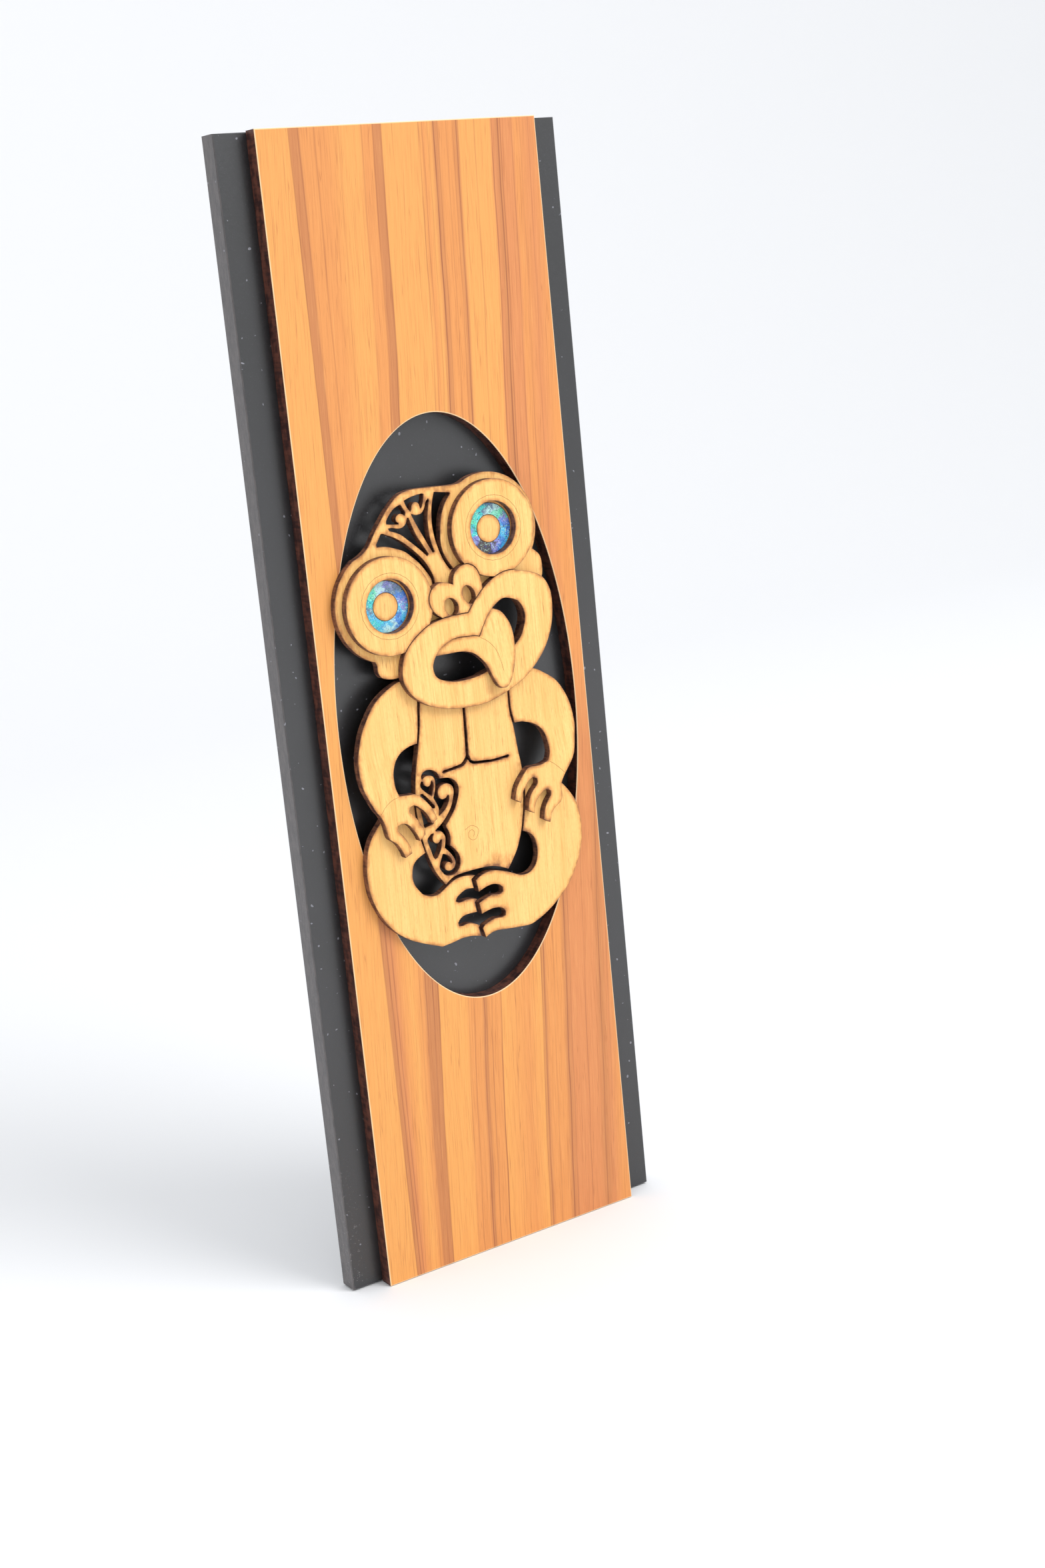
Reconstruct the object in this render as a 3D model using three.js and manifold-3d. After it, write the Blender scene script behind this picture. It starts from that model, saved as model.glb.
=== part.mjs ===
// Tiki wall panel: a black backing board, a veneered panel with an oval opening, and a seated
// tiki figure cut from thin sheet wood and built up in layers over the opening.
// Millimetres. X runs to the right, Z up, and the front faces -Y. The back lies in the plane Y = 0.
// Left and right are the sides as seen from the front.
import * as THREE from "three";
import { mergeVertices } from "three/addons/utils/BufferGeometryUtils.js";
import Module from "manifold-3d";

const wasm = await Module();
wasm.setup();

// Driving dimensions
const BOARD = { width: 131, height: 399.2, thickness: 8 };
const PANEL = { width: 107.3, height: 400, thickness: 6 };
const OVAL = { halfWidth: 48.6, halfHeight: 104.4, rise: 0.5 };
const SHEET = 3;
const PAUA = { thickness: 1, inner: 4.9, outer: 8.85, clearance: 0.1 };
const EYE = { disc: 16.9, hole: 9.2, rim: 19.8 };
const LEFT_EYE = { disc: [-26.8, 42.9], rim: [-26.5, 43.1], pupil: [-27, 42.6] };
const RIGHT_EYE = { disc: [17.1, 63.5], rim: [16.7, 62.9], pupil: [17, 63.1] };
const CUT = 0.2;
const JAW_SETBACK = 0.6;
const ARM_BEND = { top: -6, bottom: -22 };
const TONGUE = {
  thickness: 2.4,
  tilt: 10.8,
  clearance: 0.3,
  glue: 0.02,
  from: [8.9, 14.3],
  to: [21.6, 21.9],
};

// How far each layer reaches in front of the wall
const BOARD_FRONT = BOARD.thickness;
const PANEL_FRONT = BOARD_FRONT + PANEL.thickness;
const FIGURE_FRONT = PANEL_FRONT + SHEET;
const FEATURE_FRONT = FIGURE_FRONT + SHEET;

// Length of one straight step along a curved edge
const STEP = 1.6;
const FINE_STEP = 0.95;

// Outlines

// A smooth run through the given [x, z] points, in even steps.
function smooth(points, step = STEP) {
  const curve = new THREE.SplineCurve(points.map(([x, z]) => new THREE.Vector2(x, z)));
  return curve.getSpacedPoints(Math.max(1, Math.ceil(curve.getLength() / step)));
}

// An arc about [x, z] from one angle to another in degrees, counterclockwise where it grows.
function arc([x, z], radius, from, to, step = STEP) {
  const sweep = THREE.MathUtils.degToRad(to - from);
  const curve = new THREE.EllipseCurve(
    x,
    z,
    radius,
    radius,
    THREE.MathUtils.degToRad(from),
    THREE.MathUtils.degToRad(to),
    sweep < 0,
  );
  return curve.getPoints(Math.max(3, Math.ceil((Math.abs(sweep) * radius) / step)));
}

// Runs joined into one closed outline, with a corner wherever two runs meet at an angle.
function outline(...runs) {
  const points = [];
  for (const point of runs.flat()) {
    const last = points[points.length - 1];
    if (!last || last.distanceTo(point) > 0.05) points.push(point);
  }
  if (points[0].distanceTo(points[points.length - 1]) < 0.05) points.pop();
  return points;
}

function circle(centre, radius, step = STEP) {
  return outline(arc(centre, radius, 0, 360, step));
}

// The outline moved outwards by a distance, or inwards by a negative one.
function grown(points, distance) {
  const outward = THREE.ShapeUtils.area(points) > 0 ? distance : -distance;
  return points.map((point, i) => {
    const before = points[(i + points.length - 1) % points.length];
    const after = points[(i + 1) % points.length];
    const normalIn = new THREE.Vector2(point.y - before.y, before.x - point.x).normalize();
    const normalOut = new THREE.Vector2(after.y - point.y, point.x - after.x).normalize();
    const normal = normalIn.clone().add(normalOut).normalize();
    const mitre = Math.min(1.6, 1 / Math.max(0.2, normal.dot(normalIn)));
    return point.clone().addScaledVector(normal, outward * mitre);
  });
}

// Solids

// A flat plate with the given outline and openings, between two distances in front of the wall.
function plate(edge, openings, back, front) {
  const shape = new THREE.Shape(edge);
  shape.holes = openings.map((opening) => new THREE.Path(opening));
  return new THREE.ExtrudeGeometry(shape, { depth: front - back, bevelEnabled: false })
    .rotateX(Math.PI / 2)
    .translate(0, -back, 0);
}

function toSolid(geometry) {
  const bare = geometry.clone();
  bare.deleteAttribute("normal");
  bare.deleteAttribute("uv");
  const merged = mergeVertices(bare, 1e-4);
  return new wasm.Manifold(
    new wasm.Mesh({
      numProp: 3,
      vertProperties: merged.attributes.position.array,
      triVerts: new Uint32Array(merged.index.array),
    }),
  );
}

function toGeometry(solid) {
  const mesh = solid.getMesh();
  const geometry = new THREE.BufferGeometry();
  geometry.setAttribute("position", new THREE.BufferAttribute(mesh.vertProperties, 3));
  geometry.setIndex(new THREE.BufferAttribute(mesh.triVerts, 1));
  const faceted = geometry.toNonIndexed();
  faceted.computeVertexNormals();
  return faceted;
}

// A plate with deeper cuts taken out of it, each an outline with the depths it spans.
function cutPlate(edge, openings, back, front, cuts) {
  let solid = toSolid(plate(edge, openings, back, front));
  for (const cut of cuts) {
    solid = solid.subtract(toSolid(plate(cut.edge, cut.islands ?? [], cut.back, cut.front)));
  }
  return toGeometry(solid);
}

// Board and panel

function backingBoard() {
  return new THREE.BoxGeometry(BOARD.width, BOARD.thickness, BOARD.height).translate(
    0,
    -BOARD.thickness / 2,
    0,
  );
}

function ovalEdge(segments = 104) {
  const curve = new THREE.EllipseCurve(0, OVAL.rise, OVAL.halfWidth, OVAL.halfHeight);
  return curve.getPoints(segments).slice(0, segments);
}

function veneerPanel() {
  const x = PANEL.width / 2;
  const z = PANEL.height / 2;
  const edge = [
    [-x, -z],
    [x, -z],
    [x, z],
    [-x, z],
  ].map(([px, pz]) => new THREE.Vector2(px, pz));
  return plate(edge, [ovalEdge()], BOARD_FRONT, PANEL_FRONT);
}

// Mouth

const lipsEdge = outline(
  smooth([
    [3.6, 35.8],
    [7.1, 40],
    [12.9, 45],
    [20, 47.8],
    [27.1, 47.1],
    [34.4, 44.4],
    [37.9, 39.4],
    [38.5, 33],
    [37.2, 25.6],
    [33.6, 18.3],
    [28.3, 12.5],
    [22.9, 8.7],
    [14.3, 5.1],
    [5.7, 3.2],
    [-5.7, 3.7],
    [-14.3, 5.9],
    [-20.7, 9.9],
    [-24.1, 14.6],
    [-24.9, 19],
    [-23.4, 25],
    [-19.6, 29.6],
    [-12.9, 33.9],
    [-6.4, 35.5],
  ]),
  smooth([
    [-6.4, 35.5],
    [-1.5, 35.8],
    [3.6, 35.8],
  ]),
);

const upperLipInside = [
  smooth([
    [7.1, 27.1],
    [4.3, 27.7],
    [-2.1, 28],
    [-5.7, 27],
    [-9.3, 25],
    [-11.5, 22.4],
  ]),
  smooth([
    [13.6, 36],
    [10.7, 32.9],
    [7.1, 27.1],
  ]),
];

const mouthEdge = outline(
  upperLipInside[0],
  smooth([
    [-11.5, 22.4],
    [-12.6, 19.3],
    [-11.1, 15.4],
    [-5, 13.1],
    [0.7, 12.9],
    [5.7, 13.4],
    TONGUE.from,
  ]),
  smooth([TONGUE.from, [15.6, 16.6], TONGUE.to]),
  smooth([
    TONGUE.to,
    [24.6, 25],
    [26.6, 31.1],
    [24.6, 36.4],
    [19.3, 38.6],
    [16.4, 37.9],
    [13.6, 36],
  ]),
  upperLipInside[1],
);

function lips() {
  return plate(lipsEdge, [mouthEdge], FIGURE_FRONT, FEATURE_FRONT);
}

// The tongue lies on the lower lip's inner edge and tips back behind the upper lip.
// Its outline is drawn in the plane of the lips, before it is tipped.
const tongueEdge = outline(
  grown(
    outline(
      smooth([
        [-11.1, 22.5],
        [-9.3, 25],
        [-5.7, 27],
        [-2.1, 28],
        [4.3, 27.7],
        [7.1, 27.1],
      ]),
      smooth([
        [7.1, 27.1],
        [10.7, 32.9],
        [13.6, 36],
      ]),
      smooth([
        [13.6, 36],
        [16.8, 34.6],
        [18.9, 31.8],
        [20.1, 28.8],
        [20.5, 25.4],
        [20.4, 21.9],
        [20, 18.4],
        [18.9, 14.6],
        [17.3, 10.8],
        [15.8, 8.5],
        [13.9, 7.3],
        [12, 7.7],
        [10.6, 9.1],
        [9.5, 11.5],
        [8.5, 14.4],
        [7.6, 16.7],
        [6.1, 18.8],
        [3.8, 21],
        [1.2, 22.1],
        [-1.4, 22.5],
        [-5.5, 22.5],
        [-11.1, 22.5],
      ]),
    ),
    -TONGUE.clearance,
  ),
);

function tongue() {
  const from = new THREE.Vector2(...TONGUE.from);
  const to = new THREE.Vector2(...TONGUE.to);
  const edge = tongueEdge.map((point) => point.clone().sub(from));
  const restingLine = to.sub(from).normalize();
  const group = new THREE.Group();
  group.position.set(from.x, -FEATURE_FRONT, from.y);
  group.quaternion.setFromAxisAngle(
    new THREE.Vector3(restingLine.x, 0, restingLine.y),
    -THREE.MathUtils.degToRad(TONGUE.tilt),
  );
  group.add(piece("tongue", plate(edge, [], TONGUE.glue, TONGUE.thickness), figureWood));
  return group;
}

// Nose

const noseEdge = outline(
  smooth([
    [3.6, 35.8],
    [-1.5, 35.8],
    [-6.4, 35.5],
  ]),
  smooth([
    [-6.4, 35.5],
    [-8.6, 36.8],
    [-10.3, 38.6],
  ]),
  smooth([
    [-10.3, 38.6],
    [-11.2, 40.8],
    [-11.3, 43.3],
    [-10.3, 45.6],
    [-8.7, 46.9],
    [-6.7, 47.7],
    [-4.8, 47.7],
    [-2.8, 47.1],
    [-1.4, 46.5],
  ]),
  smooth([
    [-1.4, 46.5],
    [-1, 48.9],
    [0.2, 50.8],
    [2.4, 52.2],
    [4.9, 52.6],
    [7.2, 51.7],
    [8.8, 50],
    [9.8, 47.4],
  ]),
  smooth([
    [9.8, 47.4],
    [10.2, 45.4],
    [10.3, 43.2],
  ]),
  smooth([
    [10.3, 43.2],
    [7.1, 40],
    [5, 37.6],
    [3.6, 35.8],
  ]),
);

// A slanting nostril, an ellipse turned about its centre.
function nostril([x, z], halfLength, halfWidth, slant) {
  const curve = new THREE.EllipseCurve(x, z, halfLength, halfWidth, 0, 2 * Math.PI, false, slant);
  return curve.getPoints(22).slice(0, 22);
}

const nostrils = [
  nostril([-2.8, 38.9], 3.3, 2.55, THREE.MathUtils.degToRad(-62)),
  nostril([4.7, 42], 3.5, 2.3, THREE.MathUtils.degToRad(-66)),
];

function nose() {
  return cutPlate(noseEdge, [], FIGURE_FRONT, FEATURE_FRONT, [
    ...nostrils.map((edge) => ({ edge, back: FIGURE_FRONT - 1, front: FEATURE_FRONT + 1 })),
    { edge: grown(lipsEdge, CUT), back: FIGURE_FRONT - 1, front: FEATURE_FRONT + 1 },
  ]);
}

// Eyes

function eyeDisc(eye) {
  const cut = { back: FIGURE_FRONT - 1, front: FEATURE_FRONT + 1 };
  return cutPlate(
    circle(eye.disc, EYE.disc),
    [circle(eye.disc, EYE.hole, FINE_STEP)],
    FIGURE_FRONT,
    FEATURE_FRONT,
    [
      { edge: grown(noseEdge, CUT), ...cut },
      { edge: grown(lipsEdge, CUT), ...cut },
    ],
  );
}

function pauaRing(eye) {
  return plate(
    circle(eye.pupil, PAUA.outer, FINE_STEP),
    [circle(eye.pupil, PAUA.inner, FINE_STEP)],
    FIGURE_FRONT - PAUA.thickness,
    FIGURE_FRONT,
  );
}

// Head

const headEdge = outline(
  arc(LEFT_EYE.rim, EYE.rim, 124, 250),
  smooth([
    [-33.3, 24.5],
    [-32.7, 23.2],
    [-32.6, 21.2],
    [-31.8, 19.2],
    [-29.8, 18.1],
    [-27.1, 17.6],
    [-24.6, 17.7],
    [-22, 18.2],
    [-19, 15.4],
    [-15.5, 12],
    [-9, 9.6],
    [0, 8.6],
    [8, 9.2],
    [15, 11.2],
    [21, 13.8],
    [27, 17.8],
    [31.5, 23.4],
    [34, 30],
    [35, 37],
    [35.9, 41.4],
    [37.2, 43.4],
    [37.7, 46],
    [37.6, 49],
    [36.8, 51.3],
    [34.5, 53.4],
  ]),
  arc(RIGHT_EYE.rim, EYE.rim, -28, 112),
  smooth([
    [9.3, 81.2],
    [6.7, 80.1],
    [3.3, 79.9],
    [-3.3, 80.2],
    [-10.8, 80.4],
    [-14.2, 80.1],
    [-16.7, 79.4],
    [-19.2, 78],
    [-23.3, 73.9],
    [-27.5, 68.7],
    [-30.6, 64.1],
    [-32.5, 62.2],
    [-35, 60.6],
    [-37.6, 59.5],
  ]),
);

// The cut-outs in the forehead, from left to right: a slot beside the left eye, two curled
// fronds with their fields, and a slot beside the right eye.
const foreheadOpenings = [
  outline(
    smooth([
      [-25.4, 67.1],
      [-22.5, 66],
      [-20, 64.7],
      [-16.7, 62.4],
      [-13.3, 59.3],
      [-10.4, 56.2],
      [-8.3, 52.8],
      [-7.1, 49.9],
      [-6.7, 46.4],
    ]),
    smooth([
      [-7.7, 46.4],
      [-7.9, 49.1],
      [-9.6, 52],
      [-11.7, 54.9],
      [-14.2, 57.4],
      [-17.1, 59.9],
      [-20.4, 61.4],
      [-24.2, 62.6],
      [-27.7, 62.9],
    ]),
    smooth([
      [-27.9, 63.8],
      [-25.7, 67],
    ]),
  ),
  outline(
    smooth(
      [
        [-17.3, 75.8],
        [-19.6, 74.9],
        [-21.7, 73],
        [-23.1, 71],
      ],
      FINE_STEP,
    ),
    smooth(
      [
        [-23.1, 70.1],
        [-21.25, 69.7],
        [-18.5, 69.4],
      ],
      FINE_STEP,
    ),
    smooth(
      [
        [-18.4, 69.8],
        [-19.3, 70.5],
        [-19.3, 71.8],
        [-18.1, 72.8],
        [-16.9, 72.75],
        [-15.7, 72],
      ],
      FINE_STEP,
    ),
    smooth(
      [
        [-15.5, 73.3],
        [-17, 75.8],
      ],
      FINE_STEP,
    ),
  ),
  outline(
    smooth(
      [
        [-14.8, 71.1],
        [-15.8, 69.1],
        [-17.3, 68.1],
        [-19.2, 68],
        [-21, 68.5],
        [-22.6, 68.5],
      ],
      FINE_STEP,
    ),
    smooth([
      [-22.3, 67.7],
      [-18.3, 66],
      [-15, 63.25],
      [-11.7, 60.3],
      [-8.6, 57.2],
    ]),
    smooth([
      [-8, 57.8],
      [-10, 61.2],
      [-12.1, 64.9],
      [-14.4, 71],
    ]),
  ),
  outline(
    smooth(
      [
        [-15.4, 76.8],
        [-14.6, 74.7],
        [-13.4, 73.1],
      ],
      FINE_STEP,
    ),
    smooth(
      [
        [-12.9, 73.9],
        [-12.6, 75.2],
        [-11.4, 76],
        [-10.2, 75.7],
        [-9.7, 74.9],
        [-9.4, 73.5],
      ],
      FINE_STEP,
    ),
    smooth(
      [
        [-8.8, 74],
        [-7.9, 76.2],
        [-7.6, 78.2],
      ],
      FINE_STEP,
    ),
    smooth([
      [-7.9, 78.4],
      [-10.2, 78.3],
      [-13.3, 77.7],
      [-15.3, 77],
    ]),
  ),
  outline(
    smooth([
      [-6, 76.5],
      [-6.8, 76],
      [-7.5, 74.1],
      [-8.75, 72.2],
      [-10.4, 71.6],
      [-12.1, 71.7],
      [-13.1, 72.2],
    ]),
    smooth([
      [-13.1, 72],
      [-11.7, 68.7],
      [-8.3, 62],
      [-6.2, 58],
    ]),
    smooth([
      [-5.5, 58.3],
      [-6.5, 61.6],
      [-7, 65.3],
      [-7, 69.5],
      [-6.5, 72.8],
      [-5.6, 76],
    ]),
  ),
  outline(
    smooth([
      [-3.4, 78.3],
      [-4.4, 75.4],
      [-5.1, 72.1],
      [-5.4, 68],
      [-5.2, 65],
      [-4.6, 61.5],
      [-3.3, 57.2],
      [-1.7, 53.7],
      [0, 51.2],
    ]),
    smooth([
      [1.2, 51.4],
      [-1, 54.9],
      [-2.2, 57.4],
      [-2.8, 61],
      [-2.5, 65],
      [-1.7, 69.2],
      [-0.6, 72.1],
      [0.8, 74.6],
      [2.9, 77],
    ]),
    smooth([
      [2.7, 77.5],
      [-0.4, 77.9],
      [-3.1, 78.3],
    ]),
  ),
];

function headPlate() {
  const pockets = [LEFT_EYE, RIGHT_EYE].map((eye) => ({
    edge: circle(eye.pupil, PAUA.outer + PAUA.clearance, FINE_STEP),
    islands: [circle(eye.pupil, PAUA.inner - PAUA.clearance, FINE_STEP)],
    back: FIGURE_FRONT - PAUA.thickness,
    front: FIGURE_FRONT + 1,
  }));
  const mouth = grown(mouthEdge, JAW_SETBACK);
  const openings = [...foreheadOpenings, mouth];
  return cutPlate(headEdge, openings, PANEL_FRONT, FIGURE_FRONT, pockets);
}

// Torso

// A slot of even width along a curved centre line, with rounded ends.
function slot(points, width, step = STEP) {
  const line = smooth(points, step);
  const sides = [1, -1].map((side) =>
    line.map((point, i) => {
      const before = line[Math.max(0, i - 1)];
      const after = line[Math.min(line.length - 1, i + 1)];
      const along = after.clone().sub(before).normalize();
      return new THREE.Vector2(
        point.x - (side * along.y * width) / 2,
        point.y + (side * along.x * width) / 2,
      );
    }),
  );
  const tip = (end, inner) =>
    end.clone().addScaledVector(end.clone().sub(inner).normalize(), width * 0.4);
  const last = line.length - 1;
  return outline(
    sides[0],
    [tip(line[last], line[last - 1])],
    sides[1].reverse(),
    [tip(line[0], line[1])],
  );
}

const torsoEdge = outline(
  smooth([
    [-17.6, 8.2],
    [-18.1, 4.7],
    [-18.6, 0.6],
    [-19.2, -2.9],
    [-20.5, -8.8],
    [-22.1, -15.3],
    [-23.1, -21.2],
    [-23.6, -26],
    [-23.7, -30],
    [-23.2, -36],
    [-22.5, -40.4],
    [-21.2, -45.6],
    [-19.1, -51.8],
    [-17.3, -55.1],
    [-15, -58.3],
  ]),
  smooth([
    [-15, -58.3],
    [-12.6, -56.7],
    [-10, -55.9],
    [-5.2, -55.6],
    [0, -55.6],
    [4.1, -55.9],
    [7.4, -56.8],
    [11.3, -58.5],
  ]),
  smooth([
    [11.3, -58.5],
    [13.3, -55.9],
    [15.1, -53.3],
    [16.5, -50.6],
    [18.2, -46.1],
    [19.4, -41],
    [20.1, -37.5],
    [20.8, -31],
    [21.1, -23.8],
    [20.2, -16.5],
    [19.3, -8],
    [18.4, -3.5],
    [18.1, 0.6],
    [18.3, 9],
  ]),
  smooth([
    [18.3, 9],
    [10, 7.9],
    [0, 7.3],
    [-9, 8],
    [-17.6, 8.2],
  ]),
);

// The chest line: a slot down from the chin that parts into two ribs.
const chestOpening = outline(
  smooth([
    [0.1, 4.5],
    [-0.1, -5],
    [-0.4, -14.2],
  ]),
  smooth([
    [-0.1, -14.8],
    [0.7, -16.5],
    [2.7, -17.1],
    [6.2, -17.45],
    [9.8, -17.75],
    [15.8, -17.35],
  ]),
  smooth(
    [
      [15.8, -17.35],
      [16.2, -17.8],
      [15.8, -18.2],
    ],
    FINE_STEP,
  ),
  smooth([
    [15.8, -18.2],
    [9.8, -18.6],
    [6.2, -18.4],
    [2.5, -18],
    [0.3, -17.4],
    [-0.9, -15.8],
  ]),
  smooth([
    [-0.9, -15.8],
    [-2.9, -17.6],
    [-6.1, -18.1],
    [-11.2, -18.7],
  ]),
  smooth(
    [
      [-11.2, -18.7],
      [-11.7, -18.3],
      [-11.2, -17.8],
    ],
    FINE_STEP,
  ),
  smooth([
    [-11.2, -17.8],
    [-6.1, -17.2],
    [-3.5, -16.6],
    [-1.7, -14.6],
  ]),
  smooth([
    [-1.5, -14.2],
    [-1.1, -5],
    [-0.8, 4.5],
  ]),
);

// The curled fronds on the left hip.
const hipOpenings = [
  outline(
    smooth(
      [
        [-20.3, -18.8],
        [-20.2, -17.6],
        [-19, -16.55],
        [-17.8, -16.3],
        [-16.3, -16.5],
        [-14.9, -17.2],
        [-13.8, -18.3],
        [-13.1, -20],
      ],
      FINE_STEP,
    ),
    smooth([
      [-13.1, -20.2],
      [-11.8, -20.3],
      [-10.2, -20.5],
      [-8.6, -21.1],
      [-7.3, -22],
      [-6.4, -23.2],
      [-5.9, -24.8],
      [-6.4, -27.9],
      [-8.2, -31.9],
      [-9.95, -34.3],
      [-12.5, -37.4],
    ]),
    smooth([
      [-12.5, -37.6],
      [-11.6, -39.9],
      [-11.3, -42],
      [-11.6, -44.6],
    ]),
    smooth([
      [-11.6, -44.7],
      [-9.7, -46.8],
      [-8.6, -48.6],
      [-8.2, -50.6],
      [-8.7, -53.1],
      [-10.5, -55.1],
      [-12.4, -55.4],
      [-14.9, -54.7],
      [-16.6, -52.3],
    ]),
    smooth(
      [
        [-16.8, -51.5],
        [-16.3, -49.9],
        [-15, -47.2],
      ],
      FINE_STEP,
    ),
    smooth(
      [
        [-14.8, -47.1],
        [-12.9, -48.1],
        [-11.7, -49.5],
        [-11.4, -51.1],
      ],
      FINE_STEP,
    ),
    smooth(
      [
        [-11.9, -51.3],
        [-12.4, -50.7],
        [-13.3, -50.4],
        [-14.4, -51],
        [-14.8, -52.2],
        [-14.1, -53.3],
        [-12.7, -53.7],
        [-11.1, -53],
        [-10.4, -51.8],
        [-10.3, -50.4],
        [-11.2, -48.4],
        [-12.7, -46.4],
        [-13.9, -45.1],
      ],
      FINE_STEP,
    ),
    smooth(
      [
        [-13.9, -45],
        [-13.3, -42.3],
        [-13.4, -40.7],
        [-14.8, -38.8],
        [-16.8, -38.5],
      ],
      FINE_STEP,
    ),
    smooth([
      [-16.9, -38],
      [-14.5, -36.5],
      [-11.8, -34],
      [-9.4, -30.6],
      [-8, -26.4],
      [-8, -24.7],
      [-8.7, -23.4],
    ]),
    smooth(
      [
        [-8.7, -23.4],
        [-10.2, -22.5],
        [-12, -22.5],
        [-13.7, -23.3],
        [-14.4, -24.8],
        [-14.2, -26.6],
        [-13, -27.7],
        [-11.4, -27.5],
        [-10.6, -26.7],
      ],
      FINE_STEP,
    ),
    smooth(
      [
        [-10.1, -26.8],
        [-10.4, -28.9],
        [-12.1, -31.4],
        [-14.8, -33.2],
      ],
      FINE_STEP,
    ),
    smooth(
      [
        [-14.9, -33],
        [-14.7, -30.3],
        [-16.3, -26.5],
      ],
      FINE_STEP,
    ),
    smooth(
      [
        [-16.2, -26.2],
        [-15.3, -23.7],
        [-15, -20.7],
        [-15.7, -18.9],
        [-17.6, -18.2],
        [-19.2, -18.5],
        [-20, -19.1],
      ],
      FINE_STEP,
    ),
  ),
  outline(
    smooth(
      [
        [-20.5, -19.8],
        [-21, -20.9],
        [-20.7, -22.2],
        [-18.9, -24.1],
        [-17.1, -25.6],
      ],
      FINE_STEP,
    ),
    smooth(
      [
        [-16.9, -25.5],
        [-15.9, -22.9],
        [-15.8, -21.2],
        [-16.3, -20.3],
      ],
      FINE_STEP,
    ),
    smooth(
      [
        [-16.6, -20.4],
        [-17.1, -21.7],
        [-18.3, -22.1],
        [-19.6, -21.1],
        [-19.9, -20],
      ],
      FINE_STEP,
    ),
  ),
  slot(
    [
      [-21, -24.6],
      [-18.9, -26.8],
      [-17.4, -28.8],
      [-16.6, -29.8],
    ],
    1.2,
  ),
  outline(
    smooth([
      [-22, -29.4],
      [-20.4, -29.2],
      [-18.6, -31.6],
      [-17.8, -33.4],
      [-17.4, -35.4],
    ]),
    smooth([
      [-17.6, -35.6],
      [-20.9, -36.2],
    ]),
    smooth([
      [-21.2, -35.9],
      [-21.6, -32.4],
      [-22, -29.4],
    ]),
  ),
  outline(
    smooth(
      [
        [-17.9, -39],
        [-18.7, -39],
        [-20, -40.1],
        [-20.5, -41],
        [-19.5, -44.9],
        [-18.8, -47.4],
        [-18.1, -48.2],
        [-17, -47.5],
        [-15.5, -45],
        [-14.7, -41.9],
      ],
      FINE_STEP,
    ),
    smooth(
      [
        [-15.3, -41.8],
        [-16.2, -42.8],
        [-17.6, -42.6],
        [-18.5, -41.2],
        [-18.2, -39.8],
        [-17.8, -39.2],
      ],
      FINE_STEP,
    ),
  ),
];

function torso() {
  return plate(torsoEdge, [chestOpening, ...hipOpenings], PANEL_FRONT, FIGURE_FRONT);
}

// Legs

const leftLegEdge = outline(
  smooth([
    [-24.3, -25.4],
    [-30, -25.4],
    [-35.4, -27.9],
    [-38.6, -31.2],
    [-40.8, -33.6],
    [-42.8, -36.3],
    [-44.6, -40.6],
    [-45.5, -46],
    [-45.6, -50.4],
    [-44.8, -56.5],
    [-42, -63.6],
    [-37.9, -69.5],
    [-32.6, -74],
    [-26.7, -77.1],
    [-19.1, -80.2],
  ]),
  smooth([
    [-19.1, -80.2],
    [-14.8, -79.8],
    [-10.8, -79.2],
    [-7, -79.3],
    [-2.9, -80.2],
  ]),
  smooth([
    [-2.9, -80.2],
    [-3.5, -76.9],
  ]),
  smooth([
    [-3, -76.3],
    [-4.6, -75.3],
    [-7.4, -74.4],
    [-10, -74.7],
    [-11.6, -74.4],
    [-11.5, -72.8],
    [-9.6, -71.4],
    [-7.4, -71],
    [-3.6, -71.1],
  ]),
  smooth([
    [-3.6, -71.1],
    [-4.1, -67.4],
  ]),
  smooth([
    [-3, -66.5],
    [-5.2, -65.8],
    [-7.8, -65.7],
    [-10, -66],
    [-11.7, -65.4],
    [-11.1, -64],
    [-8.9, -62.6],
    [-6.7, -61.9],
    [-3.9, -62.2],
  ]),
  smooth([
    [-3.9, -62.2],
    [-4.5, -58.8],
  ]),
  smooth([
    [-2.9, -57.7],
    [-5.6, -57.1],
    [-7.8, -56.9],
    [-10.4, -57.1],
    [-12.6, -57.9],
    [-15.2, -59.3],
    [-17.3, -60.5],
    [-19.3, -61.2],
    [-21.4, -61],
    [-23.8, -60.1],
    [-25.2, -58.9],
    [-27.3, -55.8],
    [-28, -52.7],
    [-27.3, -48.9],
    [-25.5, -46.8],
    [-21.9, -45.1],
  ]),
  smooth([
    [-21.9, -45.1],
    [-23.1, -40.4],
    [-23.8, -36],
    [-24.3, -30],
    [-24.3, -25.4],
  ]),
);

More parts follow.
